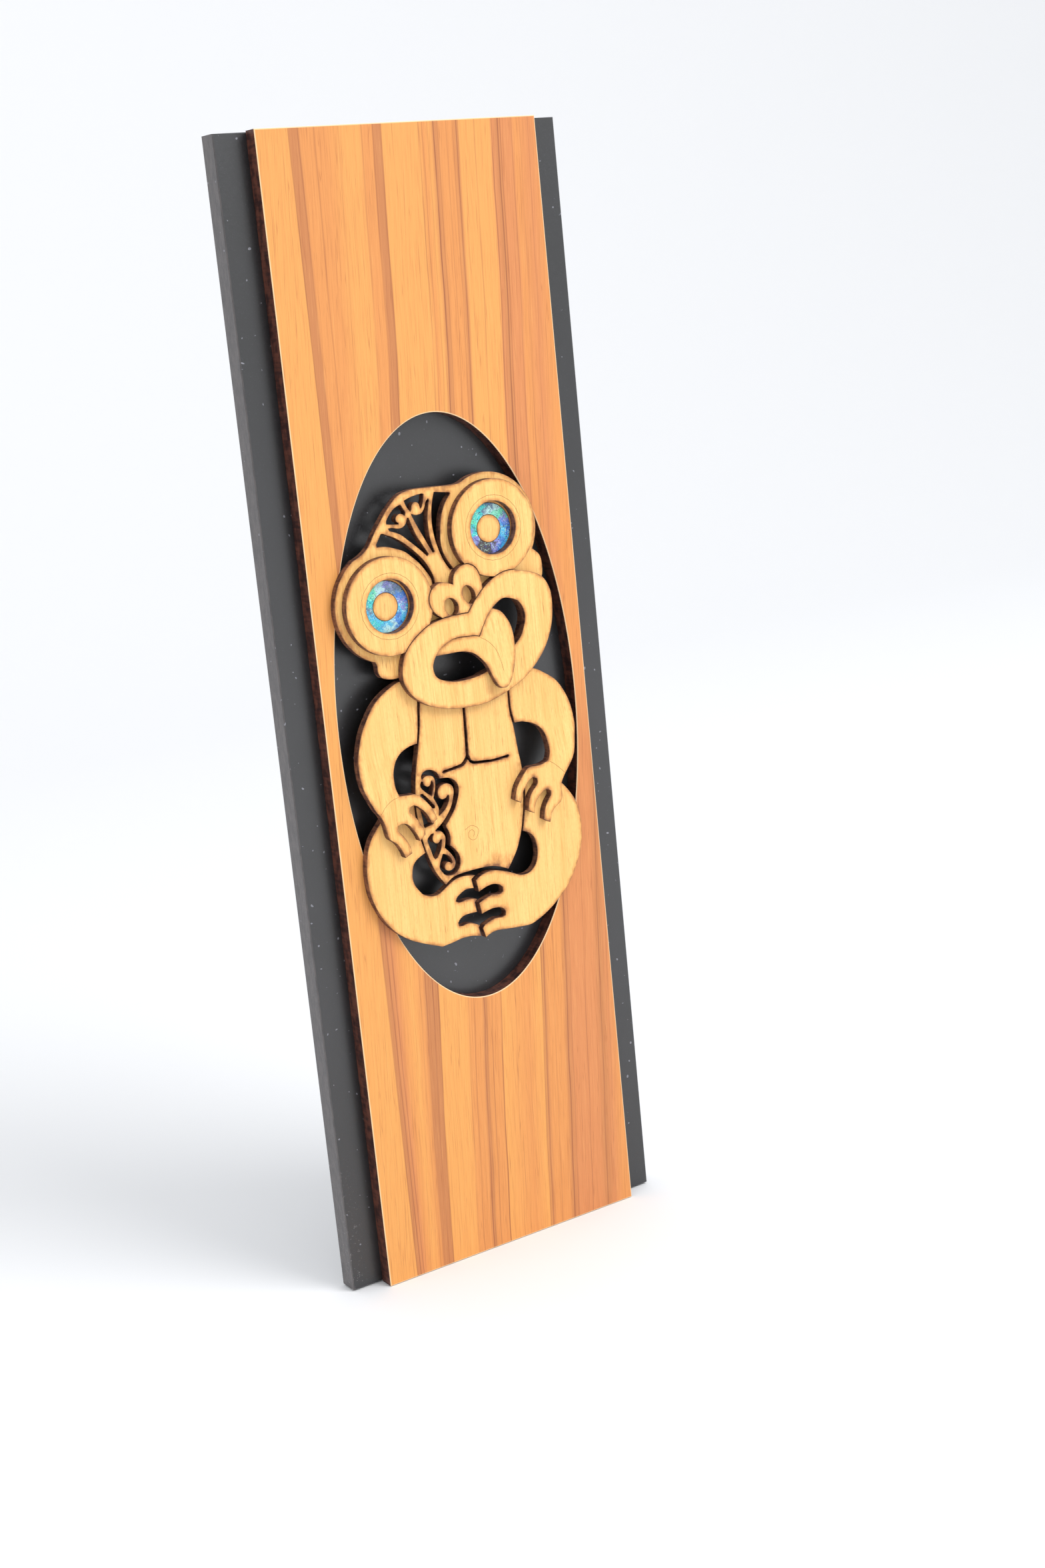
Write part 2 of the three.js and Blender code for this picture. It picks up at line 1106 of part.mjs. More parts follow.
const rightLegEdge = outline(
  smooth([
    [18.9, -46.1],
    [20.1, -41],
    [20.8, -37.5],
    [21.5, -31],
    [21.7, -25.6],
  ]),
  smooth([
    [21.7, -25.6],
    [28, -25.6],
    [33.6, -28.2],
    [37.2, -31.9],
    [40.4, -35.9],
    [43, -40.6],
    [44.2, -46.5],
    [44.2, -51],
    [43.6, -55.9],
    [41.2, -62.4],
    [36.8, -69.5],
    [30.9, -74.9],
    [25.1, -78.6],
    [19.8, -80.8],
    [16.8, -81.1],
    [9.8, -80.5],
    [4.5, -79.9],
    [1.5, -80.2],
    [-0.9, -81.3],
  ]),
  smooth([
    [-0.9, -81.3],
    [-1.9, -77.6],
  ]),
  smooth([
    [-1.9, -77.6],
    [-0.4, -76.4],
    [3.7, -75.3],
    [7.2, -75.5],
    [8.4, -74.6],
    [7.8, -72.8],
    [5.9, -71.7],
    [3.2, -71.4],
    [1, -71.7],
    [-1.6, -72.3],
  ]),
  smooth([
    [-1.6, -72.3],
    [-2.3, -68.2],
  ]),
  smooth([
    [-2.3, -68.2],
    [-0.7, -67.5],
    [3.3, -66.4],
    [6.4, -66.9],
    [8.2, -66],
    [8, -64.4],
    [6.3, -63.2],
    [3.8, -62.6],
    [1, -63],
    [-1.9, -64],
  ]),
  smooth([
    [-1.9, -64],
    [-2.7, -59.6],
  ]),
  smooth([
    [-2.7, -59.6],
    [-0.6, -58.4],
    [2.2, -57.7],
    [5.2, -57.7],
    [8.1, -58.5],
    [12.2, -60.1],
    [15.1, -61.5],
    [17.6, -62.1],
    [20.4, -61.6],
    [22.8, -59.6],
    [24, -56.5],
    [24.2, -53],
    [23.3, -49.4],
    [21.2, -47.2],
    [18.9, -46.1],
  ]),
);

function leg(edge) {
  return plate(edge, [], PANEL_FRONT, FIGURE_FRONT);
}

// Arms

// Each arm is one plate with its hand. It leaves the shoulder level with the torso and rises by
// one sheet before the wrist, so that the hand lies on the thigh and the torso.
const leftArmEdge = outline(
  smooth([
    [-18.4, 10.4],
    [-21.4, 15.2],
    [-24.6, 16.4],
    [-28.5, 15],
    [-31.4, 13.5],
    [-34.4, 11.3],
    [-37.3, 8.2],
    [-41.4, 1.5],
    [-43.8, -5.9],
    [-44.7, -11.5],
    [-44.5, -16.7],
    [-43.4, -20.6],
    [-41.2, -25.4],
    [-39.6, -27.7],
  ]),
  smooth([
    [-39.6, -27.7],
    [-38.5, -30],
    [-37.8, -32.7],
    [-37.4, -35.2],
    [-36.8, -36.6],
    [-35.5, -37.7],
    [-34, -39.1],
    [-32.4, -41.8],
    [-31.5, -44.3],
  ]),
  smooth([
    [-31.5, -44.3],
    [-28.7, -43.2],
  ]),
  smooth([
    [-28.7, -43.2],
    [-29, -41.2],
    [-30.1, -38.6],
    [-31.5, -36.4],
    [-33, -34.5],
    [-33.4, -33],
    [-32.4, -32.3],
    [-30.3, -32.4],
    [-28.7, -33.4],
    [-27.4, -35],
    [-26, -37.3],
    [-25.1, -39.6],
  ]),
  smooth([
    [-25.1, -39.6],
    [-22.7, -37.7],
  ]),
  smooth([
    [-22.7, -37.7],
    [-22.9, -36.2],
    [-24.2, -33.6],
    [-25.6, -31.3],
    [-27.6, -29],
    [-27.9, -27.7],
    [-26.9, -26.7],
    [-25.3, -27],
    [-23.7, -28.2],
    [-21.9, -30],
    [-20.6, -32.2],
    [-19.6, -34.6],
  ]),
  smooth([
    [-19.6, -34.6],
    [-17.3, -33.3],
  ]),
  smooth([
    [-17.3, -33.3],
    [-18.5, -30],
    [-20.1, -27.5],
    [-22.4, -24.8],
    [-24.6, -23.1],
    [-27.2, -22.7],
    [-31.2, -22.4],
  ]),
  smooth([
    [-31.2, -22.4],
    [-32.1, -19.6],
    [-32, -15.2],
    [-31, -12.2],
    [-29.6, -10],
    [-27.7, -8.3],
    [-25.5, -7.2],
    [-23.2, -6.5],
    [-20.6, -6.2],
  ]),
  smooth([
    [-20.6, -6.2],
    [-19.9, -2.9],
    [-19.4, 0.6],
    [-19, 4.7],
    [-18.4, 10.4],
  ]),
);

const rightArmEdge = outline(
  smooth([
    [19, 10.6],
    [24, 12.8],
    [30.2, 11.3],
    [33.3, 9.7],
    [38.6, 5.9],
    [42.1, 0.9],
    [44.3, -4.7],
    [44.7, -10.8],
    [44, -14.4],
    [42.5, -20.2],
    [40.9, -23.6],
    [37.4, -28.1],
  ]),
  smooth([
    [37.4, -28.1],
    [35.5, -31.1],
    [35.1, -33.5],
    [35.2, -35.6],
    [34.6, -37.8],
    [31.8, -39.6],
    [30.1, -41.4],
    [29.6, -43.2],
    [29, -44.6],
  ]),
  smooth([
    [29, -44.6],
    [26.5, -43],
  ]),
  smooth([
    [26.5, -43],
    [26.9, -40.5],
    [27.8, -38.2],
    [29.2, -36.1],
    [30.3, -34.8],
    [30.3, -32.9],
    [29, -32.4],
    [27.4, -32.7],
    [25.8, -33.9],
    [24.2, -35.5],
    [23.2, -37.7],
    [22.7, -39.9],
  ]),
  smooth([
    [22.7, -39.9],
    [20.2, -38.4],
  ]),
  smooth([
    [20.2, -38.4],
    [20.8, -35.5],
    [21.7, -33.2],
    [23.4, -31.1],
    [25, -29.7],
    [25.2, -27.9],
    [24.2, -26.9],
    [22.8, -27],
    [21, -28.3],
    [19.1, -30.8],
    [18.2, -32.7],
    [17.6, -35],
  ]),
  smooth([
    [17.6, -35],
    [15.1, -33.4],
  ]),
  smooth([
    [15.1, -33.4],
    [16, -30],
    [17.5, -27.4],
    [20.1, -24.5],
    [22.2, -23],
    [25.1, -23],
    [27.8, -22.9],
    [30.6, -22],
  ]),
  smooth([
    [30.6, -22],
    [31.9, -19.2],
    [31.9, -15.8],
    [31.2, -12.3],
    [29.7, -9.9],
    [27.2, -8.1],
    [25, -7.3],
    [22.7, -6.6],
    [19.8, -6.5],
  ]),
  smooth([
    [19.8, -6.5],
    [19.2, -3.2],
    [18.8, 0.6],
    [19, 10.6],
  ]),
);

function arm(edge) {
  const rise = (z) =>
    SHEET * THREE.MathUtils.clamp((ARM_BEND.top - z) / (ARM_BEND.top - ARM_BEND.bottom), 0, 1);
  const flat = toSolid(plate(edge, [], PANEL_FRONT, FIGURE_FRONT));
  const [shoulder, rest] = flat.splitByPlane([0, 0, 1], ARM_BEND.top);
  const [forearm, hand] = rest.splitByPlane([0, 0, 1], ARM_BEND.bottom);
  const [first, ...others] = [shoulder, forearm, hand].map((part) => {
    const sheared = toGeometry(part);
    const corners = sheared.getAttribute("position");
    for (let i = 0; i < corners.count; i += 1) {
      corners.setY(i, corners.getY(i) - rise(corners.getZ(i)));
    }
    return toSolid(sheared);
  });
  return toGeometry(others.reduce((whole, part) => whole.add(part), first));
}

// Materials

const blackBoard = new THREE.MeshStandardMaterial({ color: 0x3f4247, roughness: 0.7, metalness: 0 });
const rimuVeneer = new THREE.MeshStandardMaterial({ color: 0xd2935a, roughness: 0.5, metalness: 0 });
const figureWood = new THREE.MeshStandardMaterial({ color: 0xf0c078, roughness: 0.6, metalness: 0 });
const pauaShell = new THREE.MeshStandardMaterial({ color: 0x58a9b4, roughness: 0.25, metalness: 0 });

function piece(name, geometry, material) {
  const mesh = new THREE.Mesh(geometry, material);
  mesh.name = name;
  return mesh;
}

const panel = new THREE.Group();
panel.add(
  piece("backing_board", backingBoard(), blackBoard),
  piece("veneer_panel", veneerPanel(), rimuVeneer),
  piece("head_plate", headPlate(), figureWood),
  piece("torso", torso(), figureWood),
  piece("left_leg", leg(leftLegEdge), figureWood),
  piece("right_leg", leg(rightLegEdge), figureWood),
  piece("left_arm", arm(leftArmEdge), figureWood),
  piece("right_arm", arm(rightArmEdge), figureWood),
  piece("left_eye_disc", eyeDisc(LEFT_EYE), figureWood),
  piece("right_eye_disc", eyeDisc(RIGHT_EYE), figureWood),
  piece("left_paua_ring", pauaRing(LEFT_EYE), pauaShell),
  piece("right_paua_ring", pauaRing(RIGHT_EYE), pauaShell),
  piece("nose", nose(), figureWood),
  piece("lips", lips(), figureWood),
  tongue(),
);

export default panel;
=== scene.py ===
"""Tiki wall panel: the finish of every piece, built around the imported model. Metres, in the model's own frame."""

import math

import bpy
import numpy as np
from mathutils import Euler, Matrix, Vector
from mathutils.geometry import delaunay_2d_cdt


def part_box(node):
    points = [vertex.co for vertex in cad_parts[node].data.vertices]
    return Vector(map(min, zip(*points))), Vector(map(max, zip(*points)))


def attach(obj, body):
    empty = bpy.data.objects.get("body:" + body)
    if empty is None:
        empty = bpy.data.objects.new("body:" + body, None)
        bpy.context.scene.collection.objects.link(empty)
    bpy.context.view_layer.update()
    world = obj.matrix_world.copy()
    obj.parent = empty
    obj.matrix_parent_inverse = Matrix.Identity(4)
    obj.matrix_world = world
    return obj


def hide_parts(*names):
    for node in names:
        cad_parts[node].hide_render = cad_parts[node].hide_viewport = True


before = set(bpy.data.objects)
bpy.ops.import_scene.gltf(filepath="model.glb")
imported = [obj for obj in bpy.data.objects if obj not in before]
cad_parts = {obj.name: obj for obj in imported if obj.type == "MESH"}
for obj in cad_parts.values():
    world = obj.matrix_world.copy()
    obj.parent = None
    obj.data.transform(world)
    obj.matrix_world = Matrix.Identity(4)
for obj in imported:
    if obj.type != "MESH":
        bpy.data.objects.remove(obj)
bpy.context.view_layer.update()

# Driving sizes in millimetres, as the outlines are drawn
MM = 0.001
WELD = 0.002
ARRIS = 0.12
OUTLINE_STEP = 0.45
FACE_STEP = 1.1
CORNER = math.radians(42)
RIM_BURN = 0.45
RIM_FADE = 0.25
WALL_TURN = 0.08
GROOVE_WIDTH = 0.26
GROOVE_DEPTH = 0.1
GROOVE_BURN = 0.85
SOOT_REACH = 0.9
FRONT = np.array([0.0, -1.0, 0.0])

# The arms rise by one sheet between the elbow and the wrist
ARM_RISE = {"top": -6.0, "bottom": -22.0, "height": 3.0, "round": 3.0}

EYES = {
    "left": {"disc": (-26.8, 42.9), "ring": (-27.0, 42.6)},
    "right": {"disc": (17.1, 63.5), "ring": (17.0, 63.1)},
}
EYE_LINE = {"radius": 11.3, "sides": 22}
PAUA = {"inner": 4.9, "outer": 8.85, "thickness": 1.0, "edge": 0.12}


def srgb(red, green, blue):
    """A display colour from 0 to 255 as the linear colour that a shader takes."""
    value = np.array([red, green, blue]) / 255.0
    linear = np.where(value <= 0.04045, value / 12.92, ((value + 0.055) / 1.055) ** 2.4)
    return (*(float(part) for part in linear), 1.0)


# Reading the model

def welded(node):
    """Corners in millimetres and triangles of a model node, with its doubled corners merged."""
    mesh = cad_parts[node].data
    mesh.calc_loop_triangles()
    corners = np.empty(len(mesh.vertices) * 3)
    mesh.vertices.foreach_get("co", corners)
    triangles = np.empty(len(mesh.loop_triangles) * 3, int)
    mesh.loop_triangles.foreach_get("vertices", triangles)
    corners = corners.reshape(-1, 3) / MM
    key = np.round(corners / WELD).astype(int)
    _, first, back = np.unique(key, axis=0, return_index=True, return_inverse=True)
    return corners[first], back.reshape(-1)[triangles].reshape(-1, 3)


def triangle_normals(corners, triangles):
    """Cross product of two sides of each triangle: its direction, twice its area long."""
    a, b, c = (corners[triangles[:, k]] for k in range(3))
    return np.cross(b - a, c - a)


def sheet_axes(normal):
    """Axes of a sheet that faces along normal: to the right, upwards and out of its face."""
    out = normal / np.linalg.norm(normal)
    up = np.array([0.0, 0.0, 1.0]) - out[2] * out
    up /= np.linalg.norm(up)
    return np.array([np.cross(up, out), up, out])


def front_outlines(node, axes):
    """Closed outlines of a node's front faces, each with its depth behind the face.

    An outline is where front-facing triangles end, with the material on its left. A pocket's floor
    has outlines too, with a wall that rises instead of falling, and those are left out.
    """
    corners, triangles = welded(node)
    normals = triangle_normals(corners, triangles)
    facing = normals @ axes[2] > 0.5 * np.linalg.norm(normals, axis=1)
    local = corners @ axes.T
    opposite = {}
    for a, b, c in triangles[~facing]:
        opposite.update({(a, b): c, (b, c): a, (c, a): b})
    following = {}
    for a, b, c in triangles[facing]:
        for start, end in ((a, b), (b, c), (c, a)):
            if (end, start) in opposite:
                following[start] = (end, opposite[(end, start)])
    outlines = []
    while following:
        first = next(iter(following))
        chain = []
        drops = []
        here = first
        while here in following:
            end, behind = following.pop(here)
            chain.append(here)
            drops.append(local[here, 2] - local[behind, 2])
            here = end
        if max(drops) > 0:
            outlines.append((local[chain, :2], max(drops), local[chain, 2].min()))
    return outlines


def smoothed(loop, step):
    """The closed outline with a cubic curve between its points, kept sharp at its corners.

    Each stretch is a Hermite curve. Its end directions weigh the two neighbouring chords by each
    other's length, except at a corner, where each stretch keeps the direction of its own chord.
    """
    chord = np.roll(loop, -1, 0) - loop
    length = np.linalg.norm(chord, axis=1)
    ahead = chord / length[:, None]
    behind = np.roll(ahead, 1, 0)
    turn = np.arccos(np.clip((ahead * behind).sum(1), -1, 1))
    shared = behind * length[:, None] + ahead * np.roll(length, 1)[:, None]
    shared /= np.maximum(np.linalg.norm(shared, axis=1), 1e-9)[:, None]
    corner = (turn > CORNER)[:, None]
    leaving = np.where(corner, ahead, shared)
    arriving = np.roll(np.where(corner, behind, shared), -1, 0)
    counts = np.maximum(1, np.ceil(length / step).astype(int))
    which = np.repeat(np.arange(len(loop)), counts)
    t = (np.arange(len(which)) - np.repeat(np.cumsum(counts) - counts, counts)) / counts[which]
    t = t[:, None]
    start = loop[which]
    end = np.roll(loop, -1, 0)[which]
    reach = length[which][:, None]
    return (
        start * (1 + 2 * t) * (1 - t) ** 2
        + end * t**2 * (3 - 2 * t)
        + leaving[which] * reach * t * (1 - t) ** 2
        - arriving[which] * reach * t**2 * (1 - t)
    )


def outward(loop):
    """Mitred normals of a closed outline, pointing away from the material on its left."""
    ahead = np.roll(loop, -1, 0) - loop
    ahead /= np.linalg.norm(ahead, axis=1)[:, None]
    behind = np.roll(ahead, 1, 0)
    normal = np.stack([ahead[:, 1] + behind[:, 1], -ahead[:, 0] - behind[:, 0]], 1)
    normal /= np.maximum(np.linalg.norm(normal, axis=1), 1e-6)[:, None]
    along = normal[:, 0] * ahead[:, 1] - normal[:, 1] * ahead[:, 0]
    return normal / np.clip(along, 0.6, 1.0)[:, None]


def inside(points, loops):
    """Which points lie in the material: a ray from each crosses the outlines an odd number of times."""
    start = np.concatenate(loops)
    end = np.concatenate([np.roll(loop, -1, 0) for loop in loops])
    odd = np.zeros(len(points), bool)
    for block in np.array_split(np.arange(len(points)), max(1, len(points) * len(start) // 4_000_000)):
        x = points[block, 0][:, None]
        y = points[block, 1][:, None]
        spans = (start[:, 1] > y) != (end[:, 1] > y)
        rise = np.where(np.abs(end[:, 1] - start[:, 1]) < 1e-12, 1.0, end[:, 1] - start[:, 1])
        crossing = start[:, 0] + (y - start[:, 1]) * (end[:, 0] - start[:, 0]) / rise
        odd[block] = (spans & (crossing > x)).sum(1) % 2 == 1
    return odd


def nearness(points, loops, reach):
    """How much cut edge lies near each point: the sum over the edge of exp(-(distance / reach)^2)."""
    start = np.concatenate(loops)
    share = np.concatenate([np.linalg.norm(np.roll(loop, -1, 0) - loop, axis=1) for loop in loops])
    total = np.zeros(len(points))
    for block in np.array_split(np.arange(len(points)), max(1, len(points) * len(start) // 4_000_000)):
        gap = ((points[block][:, None] - start[None]) ** 2).sum(2)
        total[block] = (np.exp(-gap / reach**2) * share).sum(1)
    return total / reach


# Engraved lines

def side_lines(line, width):
    """The two sides of a line drawn with a given width, each half the width from its middle."""
    along = np.gradient(line, axis=0)
    along /= np.linalg.norm(along, axis=1)[:, None]
    across = np.stack([-along[:, 1], along[:, 0]], 1) * width / 2
    return line + across, line - across


def evenly(points, step):
    """A smooth line through the points, a Catmull-Rom curve in even steps."""
    points = np.asarray(points, float)
    padded = np.concatenate([[2 * points[0] - points[1]], points, [2 * points[-1] - points[-2]]])
    t = np.linspace(0, 1, 24, endpoint=False)[:, None]
    pieces = [
        0.5
        * (
            2 * b
            + (c - a) * t
            + (2 * a - 5 * b + 4 * c - d) * t**2
            + (3 * b - a - 3 * c + d) * t**3
        )
        for a, b, c, d in zip(padded, padded[1:], padded[2:], padded[3:])
    ]
    dense = np.concatenate([*pieces, points[-1:]])
    distance = np.concatenate([[0], np.cumsum(np.linalg.norm(np.diff(dense, axis=0), axis=1))])
    even = np.linspace(0, distance[-1], max(2, int(distance[-1] / step) + 1))
    return np.stack([np.interp(even, distance, dense[:, k]) for k in range(2)], 1)


def polygon(centre, radius, sides):
    """A closed line with flat sides about a centre, its first point repeated at its end."""
    angle = np.linspace(0, 2 * np.pi, sides * 4 + 1)
    corner = np.pi / sides
    flat = radius * np.cos(corner) / np.cos((angle % (2 * corner)) - corner)
    return np.stack([centre[0] + flat * np.cos(angle), centre[1] + flat * np.sin(angle)], 1)


ENGRAVED = {
    "left_eye_disc": [polygon(EYES["left"]["disc"], EYE_LINE["radius"], EYE_LINE["sides"])],
    "right_eye_disc": [polygon(EYES["right"]["disc"], EYE_LINE["radius"], EYE_LINE["sides"])],
    "left_arm": [evenly([(-39.2, -27.3), (-36.9, -24.8), (-34.2, -23.2), (-31.5, -22.6)], 0.8)],
    "right_arm": [evenly([(30.8, -22.3), (32.8, -23.6), (35.1, -25.7), (37.0, -27.7)], 0.8)],
    "torso": [
        evenly(
            [
                (-4.5, -40.3),
                (-2.4, -39.5),
                (-0.1, -40.6),
                (0.4, -42.2),
                (-0.8, -44.5),
                (-2.4, -44.8),
                (-3.8, -43.4),
                (-3.5, -41.6),
                (-2.1, -41.1),
                (-1.3, -42.3),
                (-1.8, -43.5),
            ],
            0.45,
        )
    ],
    "tongue": [
        evenly([(6.8, 26.8), (9.25, 25.3), (11.6, 22.8), (13.0, 19.6), (13.55, 16.2), (13.8, 14.0)], 0.6)
    ],
}


# Scorched places on the faces, as (x, z, radius, strength) in millimetres; a few are painted shade, such as the one
# on the lower lip beside the tongue tip
SCORCH_AND_SHADE_MARKS = {
    "torso": [
        (6.7, -54.5, 3.2, 1.6),
        (1.5, -56.5, 2.6, 1.0),
        (11.5, -55.0, 2.6, 0.9),
        (20.0, -22.9, 2.6, 0.9),
        (-9.0, -51.0, 2.2, 0.8),
        (-12.3, -19.6, 2.4, 0.8),
        (-5.8, -25.5, 2.0, 0.7),
        (-16.0, -5.0, 2.0, 0.5),
        (13.4, -1.5, 2.2, 0.5),
        (16.6, -18.1, 1.2, 0.6),
        (1.4, -16.0, 2.2, 0.5),
    ],
    "lips": [
        # painted shadow: the dark band on the lower lip under the tongue tip's left side
        (9.2, 7.6, 2.4, 0.9),
        (-1.8, 12.6, 2.6, 0.5),
        (3.6, 35.2, 2.4, 0.4),
        (20.5, 17.5, 2.5, 0.4),
    ],
    "right_arm": [(23.9, -25.6, 1.8, 1.0), (29.8, -32.2, 1.8, 0.9), (36.0, -38.0, 1.8, 0.6)],
    "left_arm": [(-29.0, -24.6, 2.4, 0.6), (-25.5, -34.2, 1.8, 0.9), (-20.0, -30.0, 1.8, 0.7)],
    "right_leg": [(9.4, -72.7, 2.2, 1.0), (4.6, -66.5, 2.0, 0.6), (21.5, -46.5, 2.4, 0.6)],
    "left_leg": [(-8.0, -66.0, 2.0, 0.5), (-24.0, -52.0, 2.4, 0.4)],
    "head_plate": [(-26.5, 79.8, 4.0, 0.6), (-44.0, 34.0, 5.0, 0.5), (2.0, 60.0, 3.0, 0.5)],
    "left_eye_disc": [(-26.0, 27.6, 5.0, 0.4)],
    "right_eye_disc": [(3.0, 56.0, 4.0, 0.4)],
    "nose": [(-3.6, 38.4, 2.0, 0.5), (3.4, 42.6, 2.0, 0.5)],
}


# Cut plates

def face_mesh(loops, grooves, step, fade=None, rim_burn=RIM_BURN):
    """Delaunay triangles of a face with openings and engraved lines.

    The outlines and the lines are fixed edges, and a regular field of points fills the rest.
    With fade, a second line that far inside each outline ends the burnt rim.
    Returns the points, their depth, how burnt each one is, and the triangles.
    """
    points = []
    edges = []
    depth = []
    burn = []

    def add_line(line, closed, down, dark):
        first = sum(len(part) for part in points)
        index = np.arange(first, first + len(line))
        following = np.roll(index, -1)
        pairs = np.stack([index, following], 1)
        edges.append(pairs if closed else pairs[:-1])
        points.append(line)
        depth.append(np.full(len(line), down))
        burn.append(np.full(len(line), dark))

    for loop in loops:
        add_line(loop, True, 0.0, rim_burn)
        if fade:
            add_line(loop - outward(loop) * fade, True, 0.0, 0.0)
    for groove in grooves:
        closed = np.allclose(groove[0], groove[-1])
        middle = groove[:-1] if closed else groove
        left, right = side_lines(groove, GROOVE_WIDTH)
        if closed:
            left[0] = left[-1] = (left[0] + left[-1]) / 2
            right[0] = right[-1] = (right[0] + right[-1]) / 2
            left, right = left[:-1], right[:-1]
        add_line(middle, closed, GROOVE_DEPTH, GROOVE_BURN)
        add_line(left, closed, 0.0, 0.0)
        add_line(right, closed, 0.0, 0.0)
    fixed = np.concatenate(points)
    low = fixed.min(0)
    high = fixed.max(0)
    columns = np.arange(low[0], high[0], step)
    rows = np.arange(low[1], high[1], step * 0.87)
    field = np.stack(np.meshgrid(columns, rows), -1).astype(float)
    field[1::2, :, 0] += step / 2
    field = field.reshape(-1, 2)
    field = field[inside(field, loops)]
    blocks = np.array_split(field, max(1, len(field) * len(fixed) // 4_000_000))
    clear = [((block[:, None] - fixed[None]) ** 2).sum(2).min(1) > (0.45 * step) ** 2 for block in blocks]
    field = field[np.concatenate(clear)]
    everything = np.concatenate([fixed, field])
    depths = np.concatenate([*depth, np.zeros(len(field))])
    burns = np.concatenate([*burn, np.zeros(len(field))])
    solved = delaunay_2d_cdt(
        [Vector(point) for point in everything.tolist()],
        np.concatenate(edges).tolist(),
        [],
        0,
        1e-5,
    )
    flat = np.array([tuple(point) for point in solved[0]])
    source = np.array([origin[0] if origin else -1 for origin in solved[3]])
    triangles = np.array(solved[2])
    triangles = triangles[inside(flat[triangles].mean(1), loops)]
    a, b, c = (flat[triangles[:, k]] for k in range(3))
    turned = (b - a)[:, 0] * (c - a)[:, 1] - (b - a)[:, 1] * (c - a)[:, 0] < 0
    triangles[turned] = triangles[turned][:, ::-1]
    known = source >= 0
    return (
        flat,
        np.where(known, depths[source], 0.0),
        np.where(known, burns[source], 0.0),
        triangles,
    )


def wall_mesh(loop, profile):
    """A wall round an outline: each profile point (outwards, down, burn) is one ring of the grid."""
    normal = outward(loop)
    rings = [loop + normal * out for out, _, _ in profile]
    count = len(loop)
    flat = np.concatenate(rings)
    down = np.repeat([drop for _, drop, _ in profile], count)
    burn = np.repeat([dark for _, _, dark in profile], count)
    ring = np.arange(count)
    after = np.roll(ring, -1)
    quads = [
        np.stack([ring + k * count, ring + (k + 1) * count, after + (k + 1) * count, after + k * count], 1)
        for k in range(len(profile) - 1)
    ]
    return flat, down, burn, np.concatenate(quads)


def arm_lift(flat):
    """Height added to an arm: 0 above the elbow, one sheet below the wrist, with rounded bends."""
    run = ARM_RISE["top"] - ARM_RISE["bottom"]
    soft = ARM_RISE["round"]
    below = ARM_RISE["top"] - flat[:, 1]

    def ramp(distance):
        return np.where(
            np.abs(distance) < soft,
            (distance + soft) ** 2 / (4 * soft),
            np.maximum(distance, 0),
        )

    return ARM_RISE["height"] * (ramp(below) - ramp(below - run)) / run


def new_piece(name, corners, faces, attributes):
    """A mesh object from corners in metres, with doubled corners merged and values on its points."""
    key = np.round(corners / (WELD * MM)).astype(np.int64)
    _, first, back = np.unique(key, axis=0, return_index=True, return_inverse=True)
    back = back.reshape(-1)
    polygons = [tuple(back[face]) for group in faces for face in group]
    polygons = [face for face in polygons if len(set(face)) == len(face)]
    mesh = bpy.data.meshes.new(name)
    mesh.from_pydata(corners[first].tolist(), [], polygons)
    for label, values in attributes.items():
        values = values[first]
        kind = "FLOAT_VECTOR" if values.ndim == 2 else "FLOAT"
        layer = mesh.attributes.new(label, kind, "POINT")
        layer.data.foreach_set("vector" if values.ndim == 2 else "value", values.astype(np.float32).ravel())
    mesh.shade_smooth()
    mesh.set_sharp_from_angle(angle=math.radians(35))
    piece = bpy.data.objects.new(name, mesh)
    bpy.context.scene.collection.objects.link(piece)
    return piece


def grain_coordinates(corners, name):
    """Where a piece lies in its sheet of wood, in millimetres: moved along and turned a little."""
    rng = np.random.default_rng(sum(map(ord, name)))
    turn = math.radians(rng.uniform(-1.6, 1.6))
    shift = rng.uniform(-300, 300, 3)
    rotation = np.array(
        [[math.cos(turn), 0, math.sin(turn)], [0, 1, 0], [-math.sin(turn), 0, math.cos(turn)]]
    )
    return corners / MM @ rotation.T + shift


